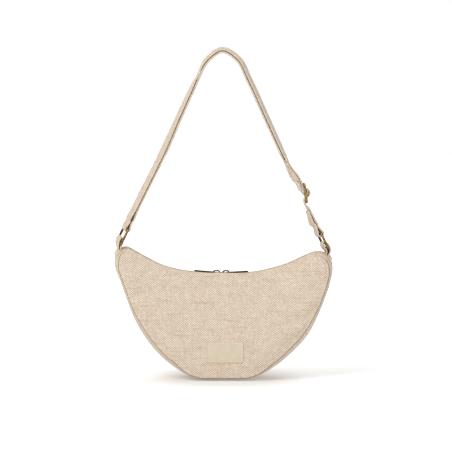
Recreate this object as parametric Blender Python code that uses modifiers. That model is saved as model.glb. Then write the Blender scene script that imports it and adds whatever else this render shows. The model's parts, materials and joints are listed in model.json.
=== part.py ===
"""A half-moon canvas belt bag that stands on its flattened bottom, on a doubled adjustable strap.

Metres, +Z up, the front faces -Y. The origin is on the floor under the middle of the bag.
"""

import math

import bmesh
import bpy
from mathutils import Vector
from mathutils.bvhtree import BVHTree

# Clearances and overruns
GAP = 0.0003  # between neighbours that touch on the real bag
OVERRUN = 0.0002  # how far a cutter or a joined piece runs past the surface it meets

# Bag body
BAG_WIDTH = 0.2990
BAG_HEIGHT = 0.1815
BASE_DEPTH = 0.0720  # gusset width at the bottom
HORN_DEPTH = 0.0280  # gusset width at the horn tips, and between the top folds
CANVAS = 0.0016
LINING = 0.0006
LINING_EASE = 0.0010
WALL_BULGE = 0.0045  # how far the gusset's middle stands out past its seams
HORN_BULGE = 0.0025  # what the horns add to that
BELLY = 0.0050
CORNER_HEIGHT = 0.0300
FOLD_RADIUS = 0.0031
FOLD_REACH = 0.0048  # flat part of the turned-in top edge
LINING_TOP = 0.0070  # lining's top edge below the bag's
LINING_END = 0.0250  # stretch of each horn without lining, along the gusset
BODY_STATIONS = 36
PANEL_ROWS = 5
GUSSET_ROWS = 6

# The gusset's crest from the left horn round the bottom to the right horn, as shares of the
# half width and the height
CREST_SHARES = (
    (-0.876, 0.999), (-0.913, 0.996), (-0.946, 0.981), (-0.969, 0.953), (-0.985, 0.909),
    (-0.982, 0.843), (-0.934, 0.728), (-0.876, 0.592), (-0.809, 0.457), (-0.712, 0.321),
    (-0.589, 0.193), (-0.457, 0.094), (-0.325, 0.028), (-0.190, 0.000), (0.200, 0.000),
    (0.335, 0.027), (0.478, 0.094), (0.637, 0.207), (0.761, 0.321), (0.849, 0.457),
    (0.916, 0.592), (0.970, 0.728), (0.995, 0.818), (0.989, 0.882), (0.963, 0.931),
    (0.933, 0.953), (0.893, 0.963), (0.846, 0.964),
)
# The top edge from horn to horn, as the same shares
TOP_SHARES = (
    (-0.864, 0.990), (-0.722, 0.923), (-0.562, 0.858), (-0.401, 0.821), (-0.254, 0.806),
    (0.000, 0.801), (0.281, 0.806), (0.428, 0.832), (0.595, 0.878), (0.722, 0.920),
    (0.834, 0.957),
)

# Patch
PATCH_WIDTH = 0.0480
PATCH_HEIGHT = 0.0280
PATCH_THICKNESS = 0.0012
PATCH_X = 0.0036
PATCH_Z = 0.0390
PATCH_COLUMNS = 8
PATCH_ROWS = 5

# Zip
ZIP_RADIUS = 0.3000  # the chain lies on an arc, so that a slider can turn about its centre
ZIP_CENTRE_X = 0.0020
ZIP_DROP = 0.00417  # mid-plane of the teeth below the top edge, at the arc's lowest point
ZIP_LEFT_MARGIN = 0.0188  # from the top edge's left end to the chain's
ZIP_RIGHT_MARGIN = 0.0201
TOOTH_PITCH = 0.0040
TOOTH_WIDTH = 0.0017
TOOTH_REACH = 0.0010  # past the centre line
TOOTH_ROOT = 0.0013  # short of the centre line
TEETH_THICKNESS = 0.0022
CORD_EDGE = 0.0024
TAPE = 0.0008
TAPE_FLAT = 0.0060  # half width that stays level with the teeth
STOP_LENGTH = 0.0030
STOP_WALL = 0.0006
TAPE_STATIONS = 12

# Sliders
SLIDER_MEETING_X = -0.0025
SLIDER_OFFSET = 0.0065  # slider centre from the meeting point
SLIDER_LENGTH = 0.0110
SLIDER_PLATE = 0.0011
SLIDER_NOSE = 0.0112  # width at the wide end
SLIDER_TAIL = 0.0072
FLANGE = 0.0008
CHANNEL_EASE = 0.0003
TAPE_SLOT = 0.0015
ROW_SPREAD = 0.0021  # how far each row moves over to pass the wedge
SPREAD_START = 0.0095
SPREAD_END = 0.0020
WEDGE_WIDTH = 0.0016
WEDGE_LENGTH = 0.0040
CROWN_LENGTH = 0.0100
CROWN_WIDTH = 0.0022
CROWN_THICKNESS = 0.0012
CROWN_HEIGHT = 0.0050

# Pulls
PULL_LENGTH = 0.0286
PULL_WIDTH = 0.0054
PULL_THICKNESS = 0.0014
PULL_BAR = 0.0014
PULL_WINDOW = 0.0053
PULL_WAIST = 0.0042
PULL_HOLE = 0.0011
PULL_PIVOT = 0.0026  # pivot from the slider's middle, towards its tail
PULL_TILT = math.radians(1.6)

# Rings and adjuster
RING_WIRE = 0.0016  # radius
RING_LENGTH = 0.0218  # between the two bars' centre lines
RING_LEAN = math.radians(25.8)
RING_CORNER = 0.0032
BAND_EASE = 0.0014  # between a band's edge and the wire beside it
LEFT_RING_TWIST = math.radians(14.0)
RIGHT_RING_TWIST = math.radians(-8.0)
LEFT_SEAT = 0.0080  # along the gusset from its end
LEFT_STAND = 0.0075  # lower bar above the gusset
RIGHT_SEAT = 0.0125
RIGHT_STAND = 0.0062
ADJUSTER_WIRE = 0.0015
ADJUSTER_PITCH = 0.0124  # between neighbouring bars
ADJUSTER_CORNER = 0.0032
ADJUSTER_LEAN = math.radians(7.9)
ADJUSTER_SHARES = (0.854, 0.2235)

# Tabs
TAB_THICKNESS = 0.0013
TAB_WIDTH = 0.0250
TAB_LENGTH = 0.0110  # sewn length along the gusset
TAB_NECK = 0.0050

# Strap
STRAP_WIDTH = 0.0250
STRAP_THICKNESS = 0.0020
LOOP_HEIGHT = 0.2470  # top of the loop above the rings
STRAP_STEP = 0.0072  # between stations
RING_NECK = 0.0100
FOLD_BACK = 0.0360  # sewn-back end at the right ring
SEWN_SHARE = 0.50
ARC_STEPS = 8
# Middle of the doubled strap from the left ring over the top, as shares of the rings' half span
# and of the loop's height
LOOP_SHARES = (
    (-0.820, 0.210), (-0.631, 0.413), (-0.448, 0.632), (-0.2635, 0.842), (-0.152, 0.947),
    (-0.006, 1.001), (0.158, 0.952), (0.266, 0.8485), (0.446, 0.647), (0.634, 0.427),
)
# How far the band's outer face turns to the front along that line: share of it, and angle
TWIST_SHARES = (
    (0.0, 1.0), (0.28, 1.0), (0.43, 0.42), (0.52, 0.0), (0.62, 0.28), (0.85, 0.28), (1.0, 0.0),
)


def flat(x, z):
    return Vector((x, 0.0, z))


def smooth(value):
    value = min(max(value, 0.0), 1.0)
    return value * value * (3.0 - 2.0 * value)


def mix(first, second, share):
    return first + (second - first) * share


def side_of(direction):
    """The direction a quarter turn to the left of one in the XZ plane, which is outward."""
    return flat(-direction.z, direction.x).normalized()


class Trail:
    """A smooth curve through chosen points, read by its length or its share of it."""

    def __init__(self, points, steps=16):
        spans = [(b - a).length for a, b in zip(points, points[1:])]
        slopes = [(b - a) / span for a, b, span in zip(points, points[1:], spans)]
        tangents = [slopes[0]]
        for before, after, left, right in zip(slopes, slopes[1:], spans, spans[1:]):
            tangents.append((before * right + after * left) / (left + right))
        tangents.append(slopes[-1])
        self.points = [points[0].copy()]
        for index, span in enumerate(spans):
            start = points[index]
            end = points[index + 1]
            leave = tangents[index] * span
            arrive = tangents[index + 1] * span
            for step in range(1, steps + 1):
                t = step / steps
                squared = t * t
                cubed = squared * t
                self.points.append(
                    start * (2 * cubed - 3 * squared + 1) + leave * (cubed - 2 * squared + t)
                    + end * (3 * squared - 2 * cubed) + arrive * (cubed - squared))
        self.marks = [0.0]
        for a, b in zip(self.points, self.points[1:]):
            self.marks.append(self.marks[-1] + (b - a).length)
        self.length = self.marks[-1]

    def place(self, distance):
        distance = min(max(distance, 0.0), self.length)
        for index in range(1, len(self.marks)):
            if self.marks[index] >= distance:
                break
        span = self.marks[index] - self.marks[index - 1]
        share = (distance - self.marks[index - 1]) / span
        return self.points[index - 1].lerp(self.points[index], share)

    def heading(self, distance):
        reach = self.length / (4 * len(self.marks))
        return (self.place(distance + reach) - self.place(distance - reach)).normalized()

    def at(self, share):
        return self.place(share * self.length)


def body_point(shares):
    return flat(shares[0] * BAG_WIDTH / 2, shares[1] * BAG_HEIGHT)


CREST = Trail([body_point(shares) for shares in CREST_SHARES])
for crest_point in CREST.points:
    crest_point.z = max(crest_point.z, 0.0)
TOP = Trail([body_point(shares) for shares in TOP_SHARES])


def top_height(x):
    """Height of the bag's top edge over x."""
    for before, after in zip(TOP.points, TOP.points[1:]):
        if after.x >= x:
            break
    return mix(before.z, after.z, (x - before.x) / (after.x - before.x))


def bulge(height):
    """How far the gusset's crest stands out past its seams at this height."""
    horn = smooth((height / BAG_HEIGHT - HORN_START_SHARE) / HORN_RISE_SHARE)
    return WALL_BULGE * smooth(height / CORNER_HEIGHT) + HORN_BULGE * horn


HORN_START_SHARE = 0.77
HORN_RISE_SHARE = 0.18
DEPTH_POWER = 0.8


def half_depth(height):
    """Half the gusset's width at this height."""
    rise = max(1.0 - height / BAG_HEIGHT, 0.0) ** DEPTH_POWER
    return mix(HORN_DEPTH / 2, BASE_DEPTH / 2, rise)


def outward(share):
    heading = CREST.heading(share * CREST.length)
    return -side_of(heading)


def gusset_point(share, across, inset):
    """A point of the gusset: across runs from -1 at the front seam to 1 at the back one."""
    crest = CREST.at(share)
    lift = bulge(crest.z)
    point = crest - outward(share) * (lift * across * across + inset)
    point.y = across * half_depth(crest.z)
    return point


def panel_point(share, rise, inset, out):
    """A point of the back panel: rise runs from 0 at the gusset to 1 under the top fold."""
    crest = CREST.at(share)
    low = crest - outward(share) * (bulge(crest.z) + inset)
    high = TOP.at(share) - flat(0.0, FOLD_RADIUS)
    point = low.lerp(high, rise)
    height = (high - low).length / BAG_HEIGHT
    point.y = mix(half_depth(crest.z), HORN_DEPTH / 2, smooth(rise))
    point.y += BELLY * math.sin(math.pi * rise) * min(height, 1.0) + out
    return point


def material(name, colour, roughness, metallic=0.0):
    made = bpy.data.materials.new(name)
    made.use_nodes = True
    shader = made.node_tree.nodes["Principled BSDF"]
    shader.inputs["Base Color"].default_value = (*colour, 1.0)
    shader.inputs["Roughness"].default_value = roughness
    shader.inputs["Metallic"].default_value = metallic
    return made


def add_object(name, mesh, finish, origin=None, collection=None):
    """An object whose origin is moved to a place, with its mesh left where it is."""
    origin = origin or Vector()
    for vertex in mesh.vertices:
        vertex.co -= origin
    made = bpy.data.objects.new(name, mesh)
    made.location = origin
    if finish:
        mesh.materials.append(finish)
    mesh.shade_smooth()
    mesh.set_sharp_from_angle(angle=math.radians(SHARP_ANGLE))
    (collection or PARTS).objects.link(made)
    return made


SHARP_ANGLE = 40.0


def grid_mesh(name, rows, facing):
    """A sheet through rows of points, its faces turned to a direction."""
    sheet = bmesh.new()
    grid = [[sheet.verts.new(point) for point in row] for row in rows]
    for low, high in zip(grid, grid[1:]):
        for index in range(len(low) - 1):
            sheet.faces.new((low[index], low[index + 1], high[index + 1], high[index]))
    sheet.normal_update()
    columns = len(rows[0]) - 1
    middle = sheet.faces[:][(len(rows) - 1) // 2 * columns + columns // 2]
    if middle.normal.dot(facing) < 0.0:
        bmesh.ops.reverse_faces(sheet, faces=sheet.faces[:])
    mesh = bpy.data.meshes.new(name)
    sheet.to_mesh(mesh)
    sheet.free()
    return mesh


def thicken(thing, thickness, offset=-1.0):
    solid = thing.modifiers.new("thickness", "SOLIDIFY")
    solid.thickness = thickness
    solid.offset = offset
    solid.use_quality_normals = True


def shares_of(count, skipped=0):
    return [index / count for index in range(skipped, count + 1 - skipped)]


def make_panel(name, sign, finish):
    """The front (sign -1) or back (sign 1) panel, with its turned-in top edge."""
    out = GAP + CANVAS
    rows = [[panel_point(share, rise, 0.0, out) for share in shares_of(BODY_STATIONS)]
            for rise in shares_of(PANEL_ROWS)]
    for turn in (45.0, 90.0):
        angle = math.radians(turn)
        row = []
        for share in shares_of(BODY_STATIONS):
            point = TOP.at(share) - flat(0.0, FOLD_RADIUS * (1.0 - math.sin(angle)))
            point.y = HORN_DEPTH / 2 + out - FOLD_RADIUS * (1.0 - math.cos(angle))
            row.append(point)
        rows.append(row)
    rows.append([point - Vector((0.0, FOLD_REACH, 0.0)) for point in rows[-1]])
    for row in rows:
        for point in row:
            point.y *= sign
    mesh = grid_mesh(name, rows, Vector((0.0, sign, 0.0)))
    thicken(add_object(name, mesh, finish), CANVAS)


def make_lining_panel(name, sign, finish):
    rows = []
    for rise in shares_of(PANEL_ROWS - 1):
        row = []
        for share in shares_of(BODY_STATIONS, lining_skips()):
            point = panel_point(share, rise, CANVAS + 2 * GAP, -LINING_EASE)
            point.z -= LINING_TOP * rise
            point.y *= sign
            row.append(point)
        rows.append(row)
    mesh = grid_mesh(name, rows, Vector((0.0, sign, 0.0)))
    thicken(add_object(name, mesh, finish), LINING)


def lining_skips():
    """How many stations at each horn have no lining."""
    return round(LINING_END / CREST.length * BODY_STATIONS)


def make_gusset(name, finish):
    rows = [[gusset_point(share, 2 * across - 1, 0.0) for share in shares_of(BODY_STATIONS)]
            for across in shares_of(GUSSET_ROWS)]
    mesh = grid_mesh(name, rows, Vector((0.0, 0.0, -1.0)))
    thicken(add_object(name, mesh, finish), CANVAS)


def make_lining_gusset(name, finish):
    rows = []
    for across in shares_of(GUSSET_ROWS // 2):
        row = []
        for share in shares_of(BODY_STATIONS, lining_skips()):
            point = gusset_point(share, 2 * across - 1, CANVAS + 2 * GAP)
            room = abs(point.y) or 1.0
            point.y *= 1.0 - (LINING + LINING_EASE + 2 * GAP) / room * abs(2 * across - 1)
            row.append(point)
        rows.append(row)
    mesh = grid_mesh(name, rows, Vector((0.0, 0.0, -1.0)))
    thicken(add_object(name, mesh, finish), LINING)


def make_patch(name, front, finish):
    """The bare patch, which follows the front panel's face."""
    bpy.context.view_layer.update()
    depsgraph = bpy.context.evaluated_depsgraph_get()
    tree = BVHTree.FromObject(front, depsgraph)
    rows = []
    for up in shares_of(PATCH_ROWS):
        row = []
        for along in shares_of(PATCH_COLUMNS):
            x = PATCH_X + (along - 0.5) * PATCH_WIDTH
            z = PATCH_Z + (up - 0.5) * PATCH_HEIGHT
            start = Vector((x, -BASE_DEPTH, z))
            hit = tree.ray_cast(start, Vector((0.0, 1.0, 0.0)))[0]
            row.append(hit - Vector((0.0, GAP + PATCH_THICKNESS, 0.0)))
        rows.append(row)
    mesh = grid_mesh(name, rows, Vector((0.0, -1.0, 0.0)))
    thicken(add_object(name, mesh, finish), PATCH_THICKNESS)


def zip_angle(x):
    return math.asin((x - ZIP_CENTRE_X) / ZIP_RADIUS)


ZIP_LOW_Z = top_height(ZIP_CENTRE_X) - ZIP_DROP
ZIP_LEFT = zip_angle(TOP.points[0].x + ZIP_LEFT_MARGIN)
ZIP_RIGHT = zip_angle(TOP.points[-1].x - ZIP_RIGHT_MARGIN)


def zip_height(x):
    """Height of the teeth's mid-plane over x."""
    return ZIP_LOW_Z + ZIP_RADIUS * (1.0 - math.cos(zip_angle(x)))


def row_spread(x):
    """How far each row of teeth is moved over beside the two sliders' wedges."""
    away = abs(x - SLIDER_MEETING_X)
    return ROW_SPREAD * smooth((SPREAD_START - away) / (SPREAD_START - SPREAD_END))


def make_teeth(name, sign, finish):
    """One row: a corded edge with a tooth at each pitch, the other row's half a pitch away."""
    shift = 0.25 * TOOTH_PITCH * sign
    step = TOOTH_PITCH / ZIP_RADIUS
    count = int((ZIP_RIGHT - ZIP_LEFT) / step) - 1
    first = (ZIP_LEFT + ZIP_RIGHT) / 2 - (count - 1) / 2 * step + shift / ZIP_RADIUS

    def spot(distance, reach):
        angle = first + distance / ZIP_RADIUS
        x = ZIP_CENTRE_X + ZIP_RADIUS * math.sin(angle)
        z = ZIP_LOW_Z + ZIP_RADIUS * (1.0 - math.cos(angle))
        return Vector((x, sign * (row_spread(x) - reach), z))

    comb = bmesh.new()
    half = TOOTH_PITCH / 2
    root = TOOTH_WIDTH / 2
    tip = TOOTH_WIDTH / 2 * TIP_SHARE
    shoulder = mix(-TOOTH_ROOT, TOOTH_REACH, SHOULDER_SHARE)
    edge_out = comb.verts.new(spot(-half, -CORD_EDGE))
    edge_in = comb.verts.new(spot(-half, -TOOTH_ROOT))
    for index in range(count):
        middle = index * TOOTH_PITCH
        next_out = comb.verts.new(spot(middle + half, -CORD_EDGE))
        next_in = comb.verts.new(spot(middle + half, -TOOTH_ROOT))
        root_left = comb.verts.new(spot(middle - root, -TOOTH_ROOT))
        root_right = comb.verts.new(spot(middle + root, -TOOTH_ROOT))
        tooth = [comb.verts.new(spot(middle + root, shoulder)),
                 comb.verts.new(spot(middle + tip, TOOTH_REACH)),
                 comb.verts.new(spot(middle - tip, TOOTH_REACH)),
                 comb.verts.new(spot(middle - root, shoulder))]
        comb.faces.new((edge_out, next_out, next_in, root_right, root_left, edge_in))
        comb.faces.new((root_left, root_right, *tooth))
        edge_out = next_out
        edge_in = next_in
    bmesh.ops.recalc_face_normals(comb, faces=comb.faces[:])
    mesh = bpy.data.meshes.new(name)
    comb.to_mesh(mesh)
    comb.free()
    thicken(add_object(name, mesh, finish), TEETH_THICKNESS, 0.0)


TIP_SHARE = 0.55
SHOULDER_SHARE = 0.72


def tape_places(left, right, chain_left, chain_right):
    """Where the tape is measured: closer together beside the wedges and at the chain's ends."""
    places = [mix(left, chain_left - TAPE_CLOSING, share) for share in shares_of(2)]
    places += [mix(chain_right + TAPE_CLOSING, right, share) for share in shares_of(2)]
    near = [SPREAD_START, mix(SPREAD_END, SPREAD_START, 0.7), mix(SPREAD_END, SPREAD_START, 0.3),
            SPREAD_END]
    for reach in near:
        places += [SLIDER_MEETING_X - reach, SLIDER_MEETING_X + reach]
    for end in (chain_left, chain_right):
        start = SLIDER_MEETING_X + math.copysign(SPREAD_START, end)
        places += [mix(end, start, share) for share in shares_of(TAPE_STATIONS)[:-1]]
    return sorted(places)


def make_tape(name, sign, finish):
    """One tape: level beside the teeth, rising to the underside of the turned-in top edge."""
    left = TOP.points[0].x + GAP
    right = TOP.points[-1].x - GAP
    beyond = STOP_LENGTH + 2 * GAP
    chain_left = ZIP_CENTRE_X + ZIP_RADIUS * math.sin(ZIP_LEFT) - beyond
    chain_right = ZIP_CENTRE_X + ZIP_RADIUS * math.sin(ZIP_RIGHT) + beyond
    fold_edge = HORN_DEPTH / 2 + GAP + CANVAS - FOLD_RADIUS - FOLD_REACH
    rows = [[], [], [], []]
    for x in tape_places(left, right, chain_left, chain_right):
        under = top_height(x) - CANVAS - GAP - TAPE
        past = max((chain_left - x) / (chain_left - left), (x - chain_right) / (right - chain_right))
        level = mix(zip_height(x), under, smooth(past))
        inner = CORD_EDGE + GAP + row_spread(x)
        if past > 0.0:
            inner = GAP / 2
        for row, y, z in zip(
                rows,
                (inner, TAPE_FLAT, fold_edge, HORN_DEPTH / 2 + GAP - FOLD_RADIUS + CANVAS),
                (level, level, under, under)):
            row.append(Vector((x, sign * y, z)))
    mesh = grid_mesh(name, rows, Vector((0.0, 0.0, 1.0)))
    thicken(add_object(name, mesh, finish), TAPE, 0.0)


TAPE_CLOSING = 0.0020


def box(name, low, high, finish, origin=None, collection=None):
    made = bmesh.new()
    bmesh.ops.create_cube(made, size=1.0)
    for vertex in made.verts:
        vertex.co = Vector(mix(a, b, corner + 0.5) for a, b, corner in zip(low, high, vertex.co))
    mesh = bpy.data.meshes.new(name)
    made.to_mesh(mesh)
    made.free()
    return add_object(name, mesh, finish, origin, collection)


def prism(name, outline, low, high, finish=None, collection=None):
    """A flat outline in the XY plane, raised from low to high."""
    made = bmesh.new()
    face = made.faces.new([made.verts.new((x, y, low)) for x, y in outline])
    raised = bmesh.ops.extrude_face_region(made, geom=[face])["geom"]
    for item in raised:
        if isinstance(item, bmesh.types.BMVert):
            item.co.z = high
    bmesh.ops.recalc_face_normals(made, faces=made.faces[:])
    mesh = bpy.data.meshes.new(name)
    made.to_mesh(mesh)
    made.free()
    return add_object(name, mesh, finish, None, collection)


def combine(thing, other, operation):
    other.hide_render = True
    other.display_type = "WIRE"
    change = thing.modifiers.new(other.name, "BOOLEAN")
    change.operation = operation
    change.object = other


def band_mesh(name, path, widths, width, thickness):
    """A flat band lofted along a path, its width set at each station."""
    made = bmesh.new()
    rings = []
    for index, (point, across) in enumerate(zip(path, widths)):
        before = path[max(index - 1, 0)]
        after = path[min(index + 1, len(path) - 1)]
        across = across.normalized()
        up = (after - before).cross(across).normalized()
        side = across * (width / 2)
        lift = up * (thickness / 2)
        ring = (point - side - lift, point + side - lift, point + side + lift, point - side + lift)
        rings.append([made.verts.new(corner) for corner in ring])
    for low, high in zip(rings, rings[1:]):
        for corner in range(4):
            after = (corner + 1) % 4
            made.faces.new((low[corner], low[after], high[after], high[corner]))
    made.faces.new(list(reversed(rings[0])))
    made.faces.new(rings[-1])
    bmesh.ops.recalc_face_normals(made, faces=made.faces[:])
    mesh = bpy.data.meshes.new(name)
    made.to_mesh(mesh)
    made.free()
    return mesh


def make_stop(name, angle, outward_sign, finish):
    """The metal clip that ends the chain, across both rows."""
    half = STOP_LENGTH / 2
    middle = angle + outward_sign * (half + GAP) / ZIP_RADIUS
    place = Vector((ZIP_CENTRE_X + ZIP_RADIUS * math.sin(middle), 0.0,
                    ZIP_LOW_Z + ZIP_RADIUS * (1.0 - math.cos(middle))))
    tall = TEETH_THICKNESS / 2 + STOP_WALL
    made = box(name, (-half, -CORD_EDGE, -tall), (half, CORD_EDGE, tall), finish)
    made.location = place
    made.rotation_euler = (0.0, -middle, 0.0)
    rounded = made.modifiers.new("edges", "BEVEL")
    rounded.width = STOP_WALL
    rounded.segments = 1


def slider_outline():
    """Half of the plates' plan, from the nose to the tail."""
    half = SLIDER_LENGTH / 2
    nose = SLIDER_NOSE / 2
    tail = SLIDER_TAIL / 2
    return [(half, nose * 0.48), (half * 0.86, nose * 0.86), (half * 0.5, nose),
            (-half * 0.62, tail), (-half * 0.94, tail * 0.94), (-half, tail * 0.72)]


def mirrored(half_outline):
    return half_outline + [(x, -y) for x, y in reversed(half_outline)]


def make_slider(name, x, turned, finish):
    """A slider: two plates round the chain, a wedge at the nose, flanges and a crown."""
    holder = bpy.data.objects.new(name + "_travel", None)
    holder.location = flat(ZIP_CENTRE_X, ZIP_LOW_Z + ZIP_RADIUS)
    holder.rotation_euler = (0.0, -zip_angle(x), 0.0)
    PARTS.objects.link(holder)

    room = TEETH_THICKNESS / 2 + CHANNEL_EASE
    tall = room + SLIDER_PLATE
    half = SLIDER_LENGTH / 2
    nose_in = SLIDER_NOSE / 2 - FLANGE
    tail_in = SLIDER_TAIL / 2 - FLANGE
    far = half + OVERRUN
    body = prism(name, mirrored(slider_outline()), -tall, tall, finish)
    channel = mirrored([(far, nose_in), (half * 0.55, nose_in), (-half * 0.55, tail_in),
                        (-far, tail_in)])
    combine(body, prism(name + "_channel", channel, -room, room, None, CUTTERS), "DIFFERENCE")
    wide = SLIDER_NOSE
    slot = [(far, wide), (-far, wide), (-far, -wide), (far, -wide)]
    cut = prism(name + "_slot", slot, -TAPE_SLOT / 2, TAPE_SLOT / 2, None, CUTTERS)
    combine(body, cut, "DIFFERENCE")
    wedge_end = half - OVERRUN
    wedge = [(wedge_end, WEDGE_WIDTH / 2), (wedge_end - WEDGE_LENGTH, 0.0),
             (wedge_end, -WEDGE_WIDTH / 2)]
    deep = room + SLIDER_PLATE / 2
    combine(body, prism(name + "_wedge", wedge, -deep, deep, None, CUTTERS), "UNION")

    reach = (CROWN_LENGTH - CROWN_THICKNESS) / 2
    foot = tall - OVERRUN
    top = tall + CROWN_HEIGHT - CROWN_THICKNESS / 2
    arch = [(-reach, foot), (-reach, mix(foot, top, 0.5)), (-reach * 0.8, mix(foot, top, 0.86)),
            (-reach * 0.42, top), (reach * 0.42, top), (reach * 0.8, mix(foot, top, 0.86)),
            (reach, mix(foot, top, 0.5)), (reach, foot)]
    path = [flat(u, z) for u, z in arch]
    widths = [Vector((0.0, 1.0, 0.0))] * len(path)
    mesh = band_mesh(name + "_crown", path, widths, CROWN_WIDTH, CROWN_THICKNESS)
    combine(body, add_object(name + "_crown", mesh, None, None, CUTTERS), "UNION")

    body.parent = holder
    body.location = flat(0.0, -ZIP_RADIUS)
    body.rotation_euler = (0.0, 0.0, math.pi if turned else 0.0)
    for cutter in CUTTERS.objects:
        if cutter.name.startswith(name):
            cutter.parent = body
    return body, tall


def make_pull(name, slider, tall, finish):
    """The flat pull, hung on the crown by the bar across its window."""
    curve = bpy.data.curves.new(name, "CURVE")
    curve.dimensions = "2D"
    curve.fill_mode = "BOTH"
    curve.extrude = PULL_THICKNESS / 2
    head = PULL_BAR / 2
    near = PULL_WIDTH / 2
    waist = PULL_WAIST / 2
    window_end = head + PULL_WINDOW
    end = PULL_LENGTH - head
    outline = [(-head, near * 0.8), (-head * 0.2, near), (window_end, near),
               (window_end + near, waist), (end - near * 1.9, waist), (end - near * 1.1, near * 0.96)]
    for turn in (60.0, 30.0):
        angle = math.radians(turn)
        outline.append((end - near * (1.0 - math.cos(angle)), near * math.sin(angle)))
    outline.append((end, 0.0))
    ring = outline + [(x, -y) for x, y in reversed(outline[:-1])]
    opening = (CROWN_WIDTH + PULL_EASE) / 2
    window = [(head, opening), (window_end, opening), (window_end, -opening), (head, -opening)]
    hole_centre = end - near
    hole = []
    for step in range(HOLE_SIDES):
        angle = 2 * math.pi * step / HOLE_SIDES
        hole.append((hole_centre + PULL_HOLE * math.cos(angle), PULL_HOLE * math.sin(angle)))
    for points in (ring, window, hole):
        spline = curve.splines.new("POLY")
        spline.points.add(len(points) - 1)
        for slot, (x, y) in zip(spline.points, points):
            slot.co = (-x, y, 0.0, 1.0)
        spline.use_cyclic_u = True
    made = curve_to_mesh(name, curve, finish)
    made.parent = slider
    made.location = flat(-PULL_PIVOT, tall + GAP + PULL_THICKNESS / 2)
    made.rotation_euler = (0.0, PULL_TILT, 0.0)


PULL_EASE = 0.0008
HOLE_SIDES = 10


def curve_to_mesh(name, curve, finish):
    """The mesh of a curve, its caps welded."""
    shape = bpy.data.objects.new(name + "_curve", curve)
    PARTS.objects.link(shape)
    bpy.context.view_layer.update()
    depsgraph = bpy.context.evaluated_depsgraph_get()
    mesh = bpy.data.meshes.new_from_object(shape.evaluated_get(depsgraph))
    mesh.name = name
    weld = bmesh.new()
    weld.from_mesh(mesh)
    bmesh.ops.remove_doubles(weld, verts=weld.verts[:], dist=WELD)
    bmesh.ops.recalc_face_normals(weld, faces=weld.faces[:])
    weld.to_mesh(mesh)
    weld.free()
    bpy.data.objects.remove(shape)
    return add_object(name, mesh, finish)


WELD = 0.00001


def wire_frame(name, centre, along, across, half_length, half_width, corner, radius, finish):
    """A closed rectangular frame of round wire with round corners."""
    curve = bpy.data.curves.new(name, "CURVE")
    curve.dimensions = "3D"
    curve.bevel_depth = radius
    curve.bevel_resolution = 2
    points = []
    for quarter in range(4):
        sign_u = (1, -1, -1, 1)[quarter]
        sign_v = (1, 1, -1, -1)[quarter]
        for step in range(4):
            angle = math.radians(90.0 * quarter + 30.0 * step)
            u = sign_u * (half_length - corner) + corner * math.cos(angle)
            v = sign_v * (half_width - corner) + corner * math.sin(angle)
            points.append(along * u + across * v)
    spline = curve.splines.new("POLY")
    spline.points.add(len(points) - 1)
    for slot, point in zip(spline.points, points):
        slot.co = (*point, 1.0)
    spline.use_cyclic_u = True
    made = curve_to_mesh(name, curve, finish)
    made.location = centre
    return made


def twisted(heading, angle):
    """The band's width direction, and its outward one, where its outer face turns forward."""
    out = side_of(heading)
    across = Vector((0.0, math.cos(angle), 0.0)) + out * math.sin(angle)
    lifted = out * math.cos(angle) - Vector((0.0, math.sin(angle), 0.0))
    return across, lifted


class Ring:
    """Where a ring sits: its two bars, the direction between them and its width direction."""

    def __init__(self, seat, stand, lean, twist):
        share = seat / CREST.length
        self.low = CREST.at(share) + outward(share) * stand
        self.up = flat(math.sin(lean), math.cos(lean))
        self.high = self.low + self.up * RING_LENGTH
        heading = self.up if lean > 0.0 else -self.up
        self.across, self.out = twisted(heading, twist)


def make_ring(name, ring, finish):
    half_width = STRAP_WIDTH / 2 + BAND_EASE + RING_WIRE
    made = wire_frame(name, (ring.low + ring.high) / 2, ring.up, ring.across, RING_LENGTH / 2,
                      half_width, RING_CORNER, RING_WIRE, finish)
    middle = made.location.copy()
    for vertex in made.data.vertices:
        vertex.co += middle - ring.low
    made.location = ring.low


def eye(bar, heading, across, radius, spacing, neck):
    """A band's way round a bar: down one leg, round the far side and up the other leg."""
    along = (heading - across * heading.dot(across)).normalized()
    side = across.cross(along).normalized()
    points = [bar + along * neck + side * (spacing / 2)]
    for step in range(ARC_STEPS + 1):
        angle = math.pi * step / ARC_STEPS
        points.append(bar + side * (radius * math.cos(angle)) - along * (radius * math.sin(angle)))
    points.append(bar + along * neck - side * (spacing / 2))
    return points


def make_tab(name, ring, first_seat, toward_end, finish):
    """A folded loop through the ring, both legs lying on the gusset, where they are sewn."""
    pair = TAB_THICKNESS + GAP
    stand = GAP + TAB_THICKNESS + GAP / 2
    middle = []
    for step in range(TAB_STEPS + 1):
        seat = first_seat + toward_end * TAB_LENGTH * step / TAB_STEPS
        share = seat / CREST.length
        middle.append(CREST.at(share) + outward(share) * stand)
    leave = (middle[0] - ring.low).normalized()
    radius = RING_WIRE + GAP + TAB_THICKNESS / 2
    loop = eye(ring.low, leave, ring.across, radius, pair, TAB_NECK)
    first_leg = []
    second_leg = []
    for index, point in enumerate(middle):
        before = middle[index - 1] if index else ring.low
        heading = (point - before).normalized()
        turn = Vector((0.0, 1.0, 0.0)).cross(heading).normalized()
        first_leg.append(point + turn * (pair / 2))
        second_leg.append(point - turn * (pair / 2))
    path = list(reversed(first_leg)) + loop + second_leg
    level = Vector((0.0, 1.0, 0.0))
    legs = len(middle)
    widths = [level] * legs + [ring.across] * len(loop) + [level] * legs
    mesh = band_mesh(name, path, widths, TAB_WIDTH, TAB_THICKNESS)
    add_object(name, mesh, finish, ring.low)


TAB_STEPS = 4


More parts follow.
